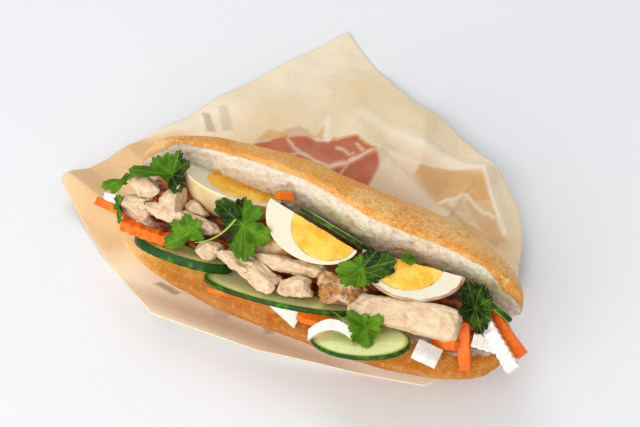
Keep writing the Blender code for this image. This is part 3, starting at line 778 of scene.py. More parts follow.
@dataclass(frozen=True)
class PaperFinish(Finish):
    """Thin greaseproof paper, unbleached, with its printed fields."""

    base: str = "EED5AC"
    light: str = "F6E8D0"
    # Pulp tone, and painted shade on the folded facets.
    deep: str = "DCA85E"
    red: str = "C4573A"
    grey: str = "A6977F"
    # Painted light along the folds and on the strip in front of the loaf.
    worn: str = "FCF1DA"

    def paint(self, graph: Graph) -> Look:
        """Cream paper with a dusty red field, pale stripes and grey bars, painted shade on its folded facets,
        and painted light along its folds and in front of the loaf.

        Args:
            graph: The material's graph.

        Returns:
            The colour, and the normal.
        """
        place = graph.place()
        soft = graph.effect("patches", place=place, scale=14.0, low=0.3, high=0.7)
        colour = graph.mix(soft, srgb(self.base), srgb(self.light))
        pulp = graph.effect("patches", place=place, scale=420.0, low=0.45, high=0.75)
        colour = graph.mix(graph.math("MULTIPLY", pulp, 0.18), colour, srgb(self.deep))
        # Painted shade on the folded facets.
        colour = graph.mix(graph.attribute("fold"), colour, srgb(self.deep))
        # Painted light along the folds and on the strip in front of the loaf.
        colour = graph.mix(graph.attribute("worn"), colour, srgb(self.worn))
        colour = graph.mix(graph.attribute("red"), colour, srgb(self.red))
        colour = graph.mix(graph.attribute("grey"), colour, srgb(self.grey))
        grain = graph.effect("grain", place=place, scale=300.0, coarseness=0.6)
        return colour, graph.bump(grain, 0.12)


@dataclass(frozen=True)
class TableFinish(Finish):
    """The plain pale floor."""

    colour: str = "ECEEF2"
    second: str = "E9EBEF"

    def paint(self, graph: Graph) -> Look:
        """Almost one colour."""
        soft = graph.effect("patches", place=graph.place(), scale=2.0, low=0.3, high=0.7)
        return graph.mix(soft, srgb(self.colour), srgb(self.second)), None


# The loaf


@dataclass
class Loaf:
    """The baguette, cut along its front and laid open about its spine."""

    half_length: float = 119.0
    half_width: float = 38.0
    lower_depth: float = 33.0
    upper_depth: float = 32.0
    squareness: float = 2.25
    cut_depth: float = -20.0
    cut_width: float = 0.8
    end_squareness: tuple[float, float] = (2.8, 2.4)
    half_turn: float = 40.0
    swell: float = 0.7
    rigid: float = math.radians(55.0)
    lower_lip: tuple[float, float] = (18.0, 9.0)
    upper_lip: tuple[float, float] = (12.0, 5.0)
    voxel: float = 1.0

    def turns(self, along: np.ndarray) -> tuple[np.ndarray, np.ndarray]:
        """How far the lower and the upper half are turned back, in radians.

        Args:
            along: Places along the loaf.

        Returns:
            The lower half's turn and the upper half's, at each place.
        """
        share = along / self.half_length
        lower = self.half_turn + 3.0 * smoothstep(share)
        upper = self.half_turn - 14.0 * np.maximum(0.0, share + 0.15) ** 1.3 - bump(along, 34, 38, 7)
        return np.radians(lower), np.radians(upper)

    def section(self, along: np.ndarray) -> tuple[np.ndarray, np.ndarray, np.ndarray]:
        """Half the width, the lower depth and the upper depth of the closed loaf.

        Args:
            along: Places along the loaf.

        Returns:
            The three sizes at each place.
        """
        share = along / self.half_length
        width = self.half_width * superellipse(share, self.end_squareness[0])
        rise = superellipse(share, self.end_squareness[1])
        upper = self.upper_depth + bump(along, -8, 32, -0.5) + bump(along, 72, 34, 3.5)
        return width, self.lower_depth * rise, upper * rise

    def lip(self, along: np.ndarray, out: np.ndarray, upper: np.ndarray) -> np.ndarray:
        """How far over the rounded lip each point is: 0 where it starts, 1 at the rim.

        Args:
            along: Places along the loaf.
            out: How far out each point is.
            upper: Whether it is in the upper half.

        Returns:
            The share of the lip at each point, up to 1.2.
        """
        reach = np.where(upper, self.upper_lip[0], self.lower_lip[0])
        width = self.section(along)[0]
        return np.clip((out - width + reach) / reach, 0.0, 1.2)

    def opened(self, points: np.ndarray) -> np.ndarray:
        """Where points of the closed loaf (along, up, out) go when it is laid open.

        Args:
            points: Rows of x, y, z in millimetres.

        Returns:
            The moved rows.
        """
        along, up, out = points.T
        side, turn = self._side(along, up)
        reach = out - self.cut_depth
        angle = np.abs(np.arctan2(up, reach))
        angle = angle + turn * (1 - smoothstep((angle - self.rigid) / (math.pi - self.rigid)))
        radius = np.hypot(reach, up)
        return np.stack((along, side * radius * np.sin(angle), self.cut_depth + radius * np.cos(angle)), 1)

    def closed(self, points: np.ndarray) -> np.ndarray:
        """The inverse of opened.

        Args:
            points: Rows of x, y, z in millimetres.

        Returns:
            The rows before the loaf was opened.
        """
        along, up, out = points.T
        side, turn = self._side(along, up)
        reach = out - self.cut_depth
        wide = np.abs(np.arctan2(up, reach))
        angle = np.maximum(0.0, wide - turn)
        for _ in range(14):
            eased = smoothstep((angle - self.rigid) / (math.pi - self.rigid))
            angle = np.maximum(0.0, wide - turn * (1 - eased))
        radius = np.hypot(reach, up)
        return np.stack((along, side * radius * np.sin(angle), self.cut_depth + radius * np.cos(angle)), 1)

    def _side(self, along: np.ndarray, up: np.ndarray) -> tuple[np.ndarray, np.ndarray]:
        """Which half each point is in, and its half's turn.

        Args:
            along: Places along the loaf.
            up: How far up each point is.

        Returns:
            1 for the upper half and -1 for the lower one, and the turn in radians.
        """
        lower, upper = self.turns(along)
        side = np.where(up > 0, 1.0, -1.0)
        return side, np.where(up > 0, upper, lower)

    def build(self) -> Piece:
        """Model the loaf: a squared-off ball, cut by a ragged knife path and laid open.

        Returns:
            The loaf in place.
        """
        loaf = primitive("uv_sphere", "dressed_bread", segments=160, ring_count=220, radius=1)
        unit = points_of(loaf) * MM
        along = self.half_length * unit[:, 2]
        width, lower, upper = self.section(along)
        angle = np.arctan2(unit[:, 1], unit[:, 0])
        power = 2 / self.squareness
        c, s = np.cos(angle), np.sin(angle)
        out = width * np.sign(c) * np.abs(c) ** power
        up = np.where(s > 0, upper, lower) * np.sign(s) * np.abs(s) ** power
        swell = 1 + self.swell / 30 * ripple(np.stack((along, up, out), 1), 17.0)
        move_points(loaf, np.stack((along, up * swell, out * swell), 1))
        edit(loaf, ("normals_make_consistent", {"inside": False}))
        knife = self._knife()
        modify(loaf, "BOOLEAN", operation="DIFFERENCE", object=knife, solver="MANIFOLD")
        bpy.data.objects.remove(knife)
        move_points(loaf, turned(self.opened(points_of(loaf)), MOUTH))
        skinned(loaf, self.voxel, 1)
        self._weather(loaf)
        return loaf

    def _knife(self) -> Piece:
        """The knife's path, a thin slab with hollowed faces.

        Returns:
            The slab, to be cut from the loaf.
        """
        knife = primitive("grid", "knife_path", x_subdivisions=220, y_subdivisions=56, size=2)
        modify(knife, "SOLIDIFY", thickness=1.0, offset=0.0)
        flat = points_of(knife) * MM
        along = flat[:, 0] * (self.half_length + 6)
        depth = self.half_width + 6 - self.cut_depth
        out = self.cut_depth + depth * (flat[:, 1] + 1) / 2
        face = np.sign(flat[:, 2])
        spots = np.stack((along, out, 40.0 * face), 1)
        hollow = 1.3 * (0.5 + 0.5 * ripple(spots, 9.0))
        drop = np.where(face > 0, self.upper_lip[1], self.lower_lip[1]) * self.lip(along, out, face > 0) ** 2
        move_points(knife, np.stack((along, face * (self.cut_width / 2 + hollow + drop), out), 1))
        edit(knife, ("normals_make_consistent", {"inside": False}))
        return knife

    def _weather(self, loaf: Piece) -> None:
        """Tear the crumb, roughen the crust and mark both for the finish.

        Args:
            loaf: The loaf, laid open.
        """
        shut = self.closed(turned(points_of(loaf), MOUTH.inverted()))
        along, up, out = shut.T
        width, lower, upper = self.section(along)
        depth = np.where(up > 0, upper, lower)
        n = self.squareness
        across = np.abs(out / np.maximum(width, 0.5))
        level = (across**n + np.abs(up / np.maximum(depth, 0.5)) ** n) ** (1 / n)
        lip = self.lip(along, out, up > 0)
        starts = np.where(up > 0, 0.86 - 0.6 * smoothstep((np.abs(along) - 92) / 18), 0.24)
        ragged = 0.1 * ripple(shut, 6.0, 3.0) + 0.06 * ripple(shut, 2.4, 6.0)
        crumb = smoothstep((starts + ragged - lip) / 0.07 + 0.5)
        crumb *= smoothstep((0.95 - level) / 0.03) * (out > self.cut_depth - 4)
        rim = np.exp(-(((lip - starts - 0.1) / 0.14) ** 2)) * (level < 0.95)
        torn, hollow = self._crumb(shut)
        rough, crackled = self._crust(shut)
        relief(loaf, crumb * torn + (1 - crumb) * rough)
        paint(loaf, "crumb", crumb)
        # Painted shade in the crumb's pores and holes.
        paint(loaf, "hollow", crumb * hollow)
        self._bake(loaf, shut, crumb, 0.3 * rim + 0.6 * crackled)

    def _crumb(self, shut: np.ndarray) -> tuple[np.ndarray, np.ndarray]:
        """The torn crumb: strands, lumps and pores.

        Args:
            shut: Points of the closed loaf.

        Returns:
            How far the crumb stands out at each point, and how deep in a pore or hole it lies, which the
            finish paints as shade.
        """
        pores = smoothstep((ripple(shut, 2.6, 5.0) - 0.1) / 0.3)
        holes = smoothstep((ripple(shut, 6.0, 9.0) - 0.22) / 0.22)
        strands = ripple(shut, (5.0, 2.0, 2.0), 11.0)
        lumps = ripple(shut, 4.0, 2.0) + ripple(shut, 1.9, 13.0)
        hollow = np.clip(0.15 * pores + 0.3 * holes, 0, 1)
        return 0.35 * strands + 0.5 * lumps - 0.7 * pores - 0.9 * holes, hollow

    def _crust(self, shut: np.ndarray) -> tuple[np.ndarray, np.ndarray]:
        """The crust: uneven all over, and crackled on the right half of its top.

        Args:
            shut: Points of the closed loaf.

        Returns:
            How far the crust stands out at each point, and how cracked it is.
        """
        along, up, _ = shut.T
        cracks = 1 - np.abs(ripple(shut, (3.6, 7.0, 7.0), 15.0)) / 0.05
        webs = 1 - np.abs(ripple(shut, 2.4, 17.0)) / 0.07
        where = smoothstep((ripple(shut, 22.0, 21.0) + 0.1) / 0.3) * smoothstep((along - 5) / 50) * (up > 0)
        crackled = np.maximum(np.clip(cracks, 0, 1), 0.7 * np.clip(webs, 0, 1)) * where
        uneven = 0.3 * ripple(shut, 3.0, 7.0) + 0.14 * ripple(shut, 1.5, 5.0) + 0.3 * ripple(shut, 9.0, 4.0)
        return uneven - 0.5 * crackled, crackled

    def _bake(self, loaf: Piece, shut: np.ndarray, crumb: np.ndarray, edges: np.ndarray) -> None:
        """Mark where the crust is browned with painted shade on its underside, flecked with flour, and pale,
        with flour at the left end and a painted highlight on top.

        Args:
            loaf: The loaf.
            shut: Its points, as in the closed loaf.
            crumb: How much of each point is crumb.
            edges: How much its rims and cracks are darkened.
        """
        along, up, _ = shut.T
        # Painted shade: the crust's underside is darker, over its browner bake.
        under = smoothstep((-up + 1) / 8) * smoothstep((along + 104) / 44)
        under *= (0.9 + 0.3 * ripple(shut, 14.0, 31.0)) * (1 - 0.35 * smoothstep((along - 62) / 24))
        paint(loaf, "baked", np.clip(0.9 * under + edges, 0, 1) * (1 - crumb))
        floury = smoothstep((ripple(shut, 16.0, 41.0) + 0.1) / 0.4) * smoothstep((up + 6) / 12)
        right = 0.6 * floury * smoothstep((along + 60) / 90)
        left = 0.5 * smoothstep((-70 - along) / 30)
        paint(loaf, "flecked", np.clip(0.3 + right + left, 0, 1) * (1 - crumb))
        left_end = 0.75 * smoothstep((-84 - along) / 22) * (up < 4)
        # Painted highlight: the top of the crust is paler.
        top = (0.1 + 0.45 * smoothstep((along - 20) / 50)) * smoothstep((up - 4) / 12)
        paint(loaf, "pale", np.clip(left_end + top, 0, 1))


# The filling


@dataclass
class Egg:
    """A wedge of boiled egg: its white round its yolk."""

    name: str
    place: tuple[float, float, float]
    turn: tuple[float, float, float]
    wedge: float
    yolk_centre: float
    trim: float | None = None
    browned: float = 0.5
    half_length: float = 29.0
    radius: float = 20.6
    yolk_half_length: float = 19.5
    yolk_radius: float = 15.4
    brown_rim: float = 0.6

    def outline(self, half_length: float, radius: float, centre: float, count: int) -> Outline:
        """Points over one side of an egg's outline, from one end to the other.

        Args:
            half_length: Half the egg's length.
            radius: Its radius.
            centre: Its middle, along the axis.
            count: The number of steps.

        Returns:
            The points, as (along, radius).
        """
        points = []
        for k in range(count + 1):
            angle = math.pi * (1 - k / count)
            blunt = 1 - 0.1 * math.cos(angle)
            points.append((centre + half_length * math.cos(angle), radius * math.sin(angle) * blunt))
        return points

    def spun(self, name: str, outline: Outline) -> Piece:
        """A wedge turned from an outline about its long axis.

        Args:
            name: The new object's name.
            outline: The closed outline, as (along, radius).

        Returns:
            The wedge, in its own frame.
        """
        mesh = bpy.data.meshes.new(name)
        mesh.from_pydata([(a * MM, -r * MM, 0) for a, r in outline], [], [list(range(len(outline)))])
        obj = bpy.data.objects.new(name, mesh)
        bpy.context.scene.collection.objects.link(obj)
        steps = round(self.wedge / 4)
        spin = {"steps": steps, "angle": math.radians(self.wedge), "center": (0, 0, 0), "axis": (1, 0, 0)}
        outward = ("normals_make_consistent", {"inside": False})
        edit(obj, ("spin", spin), ("remove_doubles", {"threshold": 0.000005}), outward)
        if points_of(obj)[:, 2].mean() > 0:
            points = points_of(obj)
            move_points(obj, points * (1, 1, -1))
            edit(obj, outward)
        if self.trim is not None:
            plane = {"plane_co": (0, self.trim * MM, 0), "plane_no": (0, 1, 0)}
            edit(obj, ("bisect", {**plane, "use_fill": True, "clear_outer": True}))
        return obj

    def build(self, finishes: dict[str, Material]) -> None:
        """Model and dress the white and the yolk.

        Args:
            finishes: All finishes by name.
        """
        matrix = placed(self.place, self.turn)
        shell = self.outline(self.half_length, self.radius, 0, 60)
        hollow = self._yolk_outline(0.1)
        white = self.spun(f"dressed_{self.name}_white", shell + hollow[::-1])
        skinned(white, 0.5, 2)
        self._mark_white(white)
        move_points(white, turned(points_of(white), matrix))
        dress(white, finishes["egg_white"], "egg_white", f"{self.name}_white")
        yolk = self.spun(f"dressed_{self.name}_yolk", self._yolk_outline(0.3))
        skinned(yolk, 0.5, 1)
        self._mark_yolk(yolk)
        move_points(yolk, turned(points_of(yolk), matrix))
        dress(yolk, finishes["egg_yolk"], "egg_yolk", f"{self.name}_yolk")

    def _yolk_outline(self, grown: float) -> Outline:
        """The yolk's outline, grown by so many millimetres."""
        return self.outline(self.yolk_half_length + grown, self.yolk_radius + grown, self.yolk_centre, 48)

    def _mark_white(self, white: Piece) -> None:
        """Store where the outside of the white is and where stock has stained it.

        Args:
            white: The white, in its own frame.
        """
        points = points_of(white)
        x, y, z = points.T
        blunt = 1 - 0.1 * x / self.half_length
        level = np.sqrt((x / self.half_length) ** 2 + (np.hypot(y, z) / (self.radius * blunt)) ** 2)
        outside = smoothstep((level - 0.965) / 0.025)
        relief(white, 0.12 * ripple(points, 5.0, 1.0))
        paint(white, "shell", outside)
        patchy = 0.5 + 0.5 * ripple(points, 9.0, 6.0)
        edge = outside * (0.35 + 0.65 * patchy) * smoothstep((-z - 0.3) / 1.0)
        if self.browned > self.brown_rim:
            skin = smoothstep((level - 0.915 - 0.035 * ripple(points, 3.0, 9.0)) / 0.02)
            skin *= smoothstep((z + 1.6) / 0.8) * (0.85 + 0.6 * ripple(points, 6.0, 14.0))
            edge = np.maximum(edge, skin)
        paint(white, "stain", np.clip(edge * self.browned, 0, 1))

    def _mark_yolk(self, yolk: Piece) -> None:
        """Make the yolk crumbly and store where it is deepest.

        Args:
            yolk: The yolk, in its own frame.
        """
        points = points_of(yolk)
        folds = 1 - np.abs(ripple(points, 5.0, 12.0)) / 0.1
        crumbs = 0.35 * ripple(points, 2.0, 2.0) + 0.45 * ripple(points, 5.5, 8.0)
        relief(yolk, crumbs - 0.35 * np.clip(folds, 0, 1))
        x, y, z = points.T
        level = np.hypot((x - self.yolk_centre) / self.yolk_half_length, np.hypot(y, z) / self.yolk_radius)
        paint(yolk, "core", 0.5 * smoothstep((0.5 - level) / 0.4))


@dataclass
class Chicken:
    """One piece of chicken, kept in its CAD place and torn along its fibres."""

    node: str
    heading: float = 0.0
    roughness: float = 0.8
    browned: float = 0.3
    dark: float = 0.0
    faces: int = 12

    def build(self, finish: Material, seed: float) -> None:
        """Model and dress the piece.

        Args:
            finish: The chicken finish.
            seed: Moves its pattern.
        """
        obj = cad_copy(self.node, f"dressed_{self.node}")
        skinned(obj, 0.6, 2)
        points = self._torn(turned(points_of(obj), MOUTH.inverted()), int(10 * seed) + 5)
        move_points(obj, turned(points, MOUTH))
        local = turned(points, Matrix.Rotation(math.radians(-self.heading), 4, "Z"))
        fibres = ripple(local, (9.0, 1.5, 1.5), seed)
        lumps = ripple(local, (6.0, 3.6, 3.6), seed + 3)
        folds = 1 - np.abs(ripple(local, (9.0, 4.0, 4.0), seed + 5)) / 0.09
        creases = np.clip(folds, 0, 1) * smoothstep((ripple(local, 9.0, seed + 8) + 0.12) / 0.25)
        fine = ripple(local, 2.0, seed + 15)
        crust = (0.25 + 0.5 * self.browned) * fine
        relief(obj, self.roughness * (0.4 * fibres + 1.2 * lumps - 0.9 * creases + crust))
        patchy = smoothstep((ripple(local, 6.0, seed + 9) + 0.35 * fine - 0.45 + 1.1 * self.browned) / 1.0)
        paint(obj, "browned", np.clip((0.2 + 0.8 * self.browned) * patchy, 0, 1))
        # Painted shade in the creases that the relief carves.
        paint(obj, "crease", 0.6 * creases * min(1.0, self.roughness + 0.1))
        spot = smoothstep((ripple(local, 4.0, seed + 12) - 0.28) / 0.15)
        paint(obj, "dark", self.dark * spot)
        dress(obj, finish, "chicken", self.node)

    def _torn(self, points: np.ndarray, seed: int) -> np.ndarray:
        """Flatten the piece against a few planes, as where it was sliced or torn.

        Args:
            points: The piece's points in the mouth.
            seed: Picks the planes.

        Returns:
            The flattened points, as large in all as before.
        """
        chance = np.random.default_rng(seed)
        middle = (points.min(0) + points.max(0)) / 2
        size = (points.max(0) - points.min(0)) / 2
        shape = (points - middle) / size
        for _ in range(self.faces):
            way = chance.normal(size=3)
            way /= np.linalg.norm(way)
            reach = shape @ way
            limit = reach.max() * chance.uniform(0.66, 0.86)
            over = np.maximum(0.0, reach - limit)
            shape = shape - 0.95 * over[:, None] * way
        return middle + shape / np.abs(shape).max(0) * size


@dataclass
class CucumberSlice:
    """A slice cut on the slant, skin and all, kept in its CAD place."""

    node: str
    place: tuple[float, float, float]
    turn: tuple[float, float, float]
    half_length: float
    half_width: float

    def build(self, finish: Material) -> None:
        """Model and dress the slice.

        Args:
            finish: The finish.
        """
        obj = cad_copy(self.node, f"dressed_{self.node}")
        skinned(obj, 0.45, 4)
        local = turned(points_of(obj), placed(self.place, self.turn).inverted())
        x, y = local[:, 0] / self.half_length, local[:, 1] / self.half_width
        out = np.hypot(x, y)
        around = np.arctan2(y, x)
        seeds = self._seeds(out, around)
        relief(obj, 0.12 * ripple(local, 4.0, 1.0) + 0.15 * seeds)
        paint(obj, "out", out)
        paint(obj, "seed", 0.8 * seeds)
        dress(obj, finish, "cucumber", self.node)

    def _seeds(self, out: np.ndarray, around: np.ndarray) -> np.ndarray:
        """How much each point lies in one of the seeds.

        Args:
            out: How far out each point lies, 1 at the rim.
            around: Its angle in radians.

        Returns:
            The mask at each point.
        """
        count = 22
        spoke = np.abs((around * count / (2 * math.pi)) % 1 - 0.5) * 2
        ring = np.abs(out - 0.5) / 0.12
        return smoothstep(1.2 - np.hypot(spoke * 1.3, ring))


class Root(Enum):
    """Which root a stick is cut from."""

    CARROT = "carrot"
    RADISH = "radish"


@dataclass
class Stick:
    """A stick of carrot or radish, plain or crinkle cut."""

    node: str
    root: Root
    place: tuple[float, float, float] = (0, 0, 0)
    turn: tuple[float, float, float] = (0, 0, 0)
    size: tuple[float, float, float] = (0, 0, 0)
    waves: int = 0
    bend: float = 0.0

    def build(self, finish: Material, seed: float) -> None:
        """Model and dress the stick; a crinkled one is made anew, a plain one from its solid.

        Args:
            finish: The finish.
            seed: Moves its pattern.
        """
        name = f"dressed_{self.node}"
        if self.waves:
            obj = primitive("cube", name, size=1)
            move_points(obj, points_of(obj) * MM * self.size)
            skinned(obj, 0.4, 1)
            x, y, z = points_of(obj).T
            share = x / self.size[0] + 0.5
            wave = (0.5 if self.root is Root.CARROT else 0.32) * np.cos(2 * math.pi * self.waves * share)
            side = 0.65 if self.root is Root.CARROT else 0.3
            y = y + self.bend * (2 * share - 1) ** 2 + side * np.cos(2 * math.pi * self.waves * share + 0.6)
            move_points(obj, turned(np.stack((x, y, z + wave), 1), placed(self.place, self.turn)))
        else:
            obj = cad_copy(self.node, name)
            skinned(obj, 0.4, 2)
        points = points_of(obj)
        relief(obj, 0.22 * ripple(points, 6.0, seed) + 0.1 * ripple(points, 2.0, seed + 4))
        dress(obj, finish, self.root.value, self.node)


@dataclass
class PickleHeap:
    """The shredded pickles below the pieces that show."""

    node: str = "pickled_vegetables"

    def build(self, finish: Material) -> None:
        """Model and dress the heap.

        Args:
            finish: The finish.
        """
        obj = cad_copy(self.node, "dressed_pickles")
        skinned(obj, 1.1, 3)
        points = points_of(obj)
        relief(obj, 0.5 * ripple(points, (7.0, 2.2, 2.2), 1.0))
        dress(obj, finish, "pickles", self.node)


# The herbs


@dataclass
class Leaf:
    """A coriander leaf that lies on the filling, lobed all round its heart."""

    node: str
    heart: tuple[float, float]
    core: float
    lowest: float
    curl: float
    lobes: tuple[tuple[float, float, float], ...]
    shade: float = 0.0
    dark_way: float | None = None

    def reach(self, angle: np.ndarray) -> np.ndarray:
        """How far the blade reaches at an angle, in millimetres, with its rounded teeth.

        Args:
            angle: Angles round the heart in radians.

        Returns:
            The reach at each angle.
        """
        degrees = np.degrees(angle)
        best = np.full(angle.shape, self.core)
        for heading, reach, half_width in self.lobes:
            away = np.abs((degrees - heading + 180) % 360 - 180) / half_width
            arch = np.cos(np.minimum(away, 1.0) * math.pi / 2)
            teeth = 0.84 + 0.16 * np.abs(np.cos(away * 2.5 * math.pi)) ** 0.6
            best = np.maximum(best, reach * arch**0.45 * teeth)
        return best * (0.97 + 0.03 * np.abs(np.cos(angle * 23)) ** 0.5)

    def build(self, finish: Material, ground: Ground) -> None:
        """Model the blade as a fan, settle it on what lies below, and dress it.

        Args:
            finish: The herb finish.
            ground: What the leaf lies on.
        """
        spokes, rings = 150, 14
        leaf = primitive("grid", f"dressed_{self.node}", x_subdivisions=spokes, y_subdivisions=rings, size=2)
        flat = points_of(leaf) * MM
        angle = flat[:, 0] * math.pi
        share = (flat[:, 1] + 1) / 2
        radius = self.reach(angle) * share
        x = self.heart[0] + radius * np.cos(angle)
        y = self.heart[1] + radius * np.sin(angle)
        height = ground.settle(x, y, self.lowest, (spokes + 1, rings + 1))
        veins, cup = self._veins(angle, radius)
        longest = max(lobe[1] for lobe in self.lobes)
        wave = 1.6 * ripple(np.stack((x, y, 0 * x), 1), 7.0, 2.0) + 0.3 * np.sin(11 * angle + self.heart[1])
        height += 1.0 + self.curl * (radius / longest) ** 2 + (cup + wave) * share**1.5 - 0.3 * veins
        move_points(leaf, turned(np.stack((x, y, height), 1), MOUTH))
        paint(leaf, "vein", 0.2 * veins)
        spots = np.stack((x, y, height), 1)
        shade = self.shade + 0.35 * smoothstep((ripple(spots, 6.0, 3.0) + 0.1) / 0.4)
        if self.dark_way is not None:
            way = math.radians(self.dark_way)
            beyond = (x - self.heart[0]) * math.cos(way) + (y - self.heart[1]) * math.sin(way)
            shade = shade + 0.7 * smoothstep((beyond - 0.5 + 1.5 * ripple(spots, 4.0, 5.0)) / 2.5)
        paint(leaf, "shade", np.clip(shade - 0.4 * veins, 0, 1))
        edit(leaf, ("remove_doubles", {"threshold": 0.00001}), ("normals_make_consistent", {"inside": False}))
        modify(leaf, "SOLIDIFY", thickness=0.35 * MM, offset=0.0)
        dress(leaf, finish, "herb", self.node)

    def _veins(self, angle: np.ndarray, radius: np.ndarray) -> tuple[np.ndarray, np.ndarray]:
        """How close each point is to a vein (1 on it), and how far its lobe cups up there.

        Args:
            angle: Each point's angle round the heart.
            radius: How far it is from the heart.

        Returns:
            The closeness and the cupping at each point.
        """
        best = np.zeros_like(angle)
        cup = np.zeros_like(angle)
        for heading, reach, half_width in self.lobes:
            away = (angle - math.radians(heading) + math.pi) % (2 * math.pi) - math.pi
            side = away / math.radians(half_width)
            inside = (np.abs(side) < 1) * (radius < reach)
            best = np.maximum(best, np.exp(-((away * radius / 0.3) ** 2)) * inside)
            cup = np.maximum(cup, 0.7 * np.minimum(np.abs(side), 1.0) ** 1.4 * inside)
            for start in (0.3, 0.55):
                fork = 0.75 * smoothstep((radius / reach - start) / 0.7)
                branch = (np.abs(side) - fork) * math.radians(half_width) * radius
                beyond = inside * (radius > start * reach)
                best = np.maximum(best, 0.6 * np.exp(-((branch / 0.22) ** 2)) * beyond)
        return best, cup


@dataclass
class Stalk:
    """A thin pale coriander stalk, kept in its CAD place."""

    node: str

    def build(self, finish: Material) -> None:
        """Model and dress the stalk.

        Args:
            finish: The finish.
        """
        obj = cad_copy(self.node, f"dressed_{self.node}")
        modify(obj, "SUBSURF", levels=2, render_levels=2)
        points = points_of(obj)
        paint(obj, "vein", np.full(len(points), 0.95))
        paint(obj, "shade", np.zeros(len(points)))
        dress(obj, finish, "herb", self.node)


class Ground:
    """What the leaves lie on: the CAD pieces, seen from outside the mouth."""

    above = 90.0
    nothing = -99.0

    def __init__(self, nodes: Sequence[str]) -> None:
        """Read the nodes' meshes."""
        self.trees = [self._tree(node) for node in nodes]
        self.down = (MOUTH.to_3x3() @ Vector((0, 0, -1))).normalized()

    def _tree(self, node: str) -> BVHTree:
        """A search tree over a node's faces.

        Args:
            node: The node's name.

        Returns:
            The tree.
        """
        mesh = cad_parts[node].data
        mesh.calc_loop_triangles()
        faces = [tuple(triangle.vertices) for triangle in mesh.loop_triangles]
        return BVHTree.FromPolygons([vertex.co for vertex in mesh.vertices], faces)

    def height(self, along: float, up: float) -> float:
        """How far out of the mouth the food reaches here, or a low number where there is none.

        Args:
            along: The place along the loaf.
            up: The place up the mouth.

        Returns:
            The height in millimetres.
        """
        best = self.nothing
        start = (MOUTH @ Vector((along, up, self.above))) * MM
        for tree in self.trees:
            spot, _, _, way = tree.ray_cast(start, self.down)
            if spot is not None:
                best = max(best, self.above - way / MM)
        return best

    def settle(self, x: np.ndarray, y: np.ndarray, lowest: float, shape: tuple[int, int]) -> np.ndarray:
        """Let a slack skin settle over the food.

        Args:
            x: The skin's points along the loaf.
            y: The skin's points up the mouth.
            lowest: The level that it never sinks below.
            shape: The skin's columns and rows.

        Returns:
            The height of each point.
        """
        floor = np.array([max(lowest, self.height(a, b)) for a, b in zip(x, y)])
        columns, rows = shape
        grid = floor.reshape(rows, columns)
        grid[0, :] = grid[0, :].max()
        limit = grid.copy()
        for _ in range(120):
            mean = grid.copy()
            mean[1:-1] = (grid[:-2] + grid[2:]) / 2
            before = np.roll(mean[:, :-1], 1, axis=1)
            after = np.roll(mean[:, :-1], -1, axis=1)
            mean[:, :-1] = (mean[:, :-1] * 2 + before + after) / 4
            mean[:, -1] = mean[:, 0]
            mean[0, :] = mean[0, :].mean()
            grid = np.maximum(limit, mean)
        return grid.ravel()


# The paper


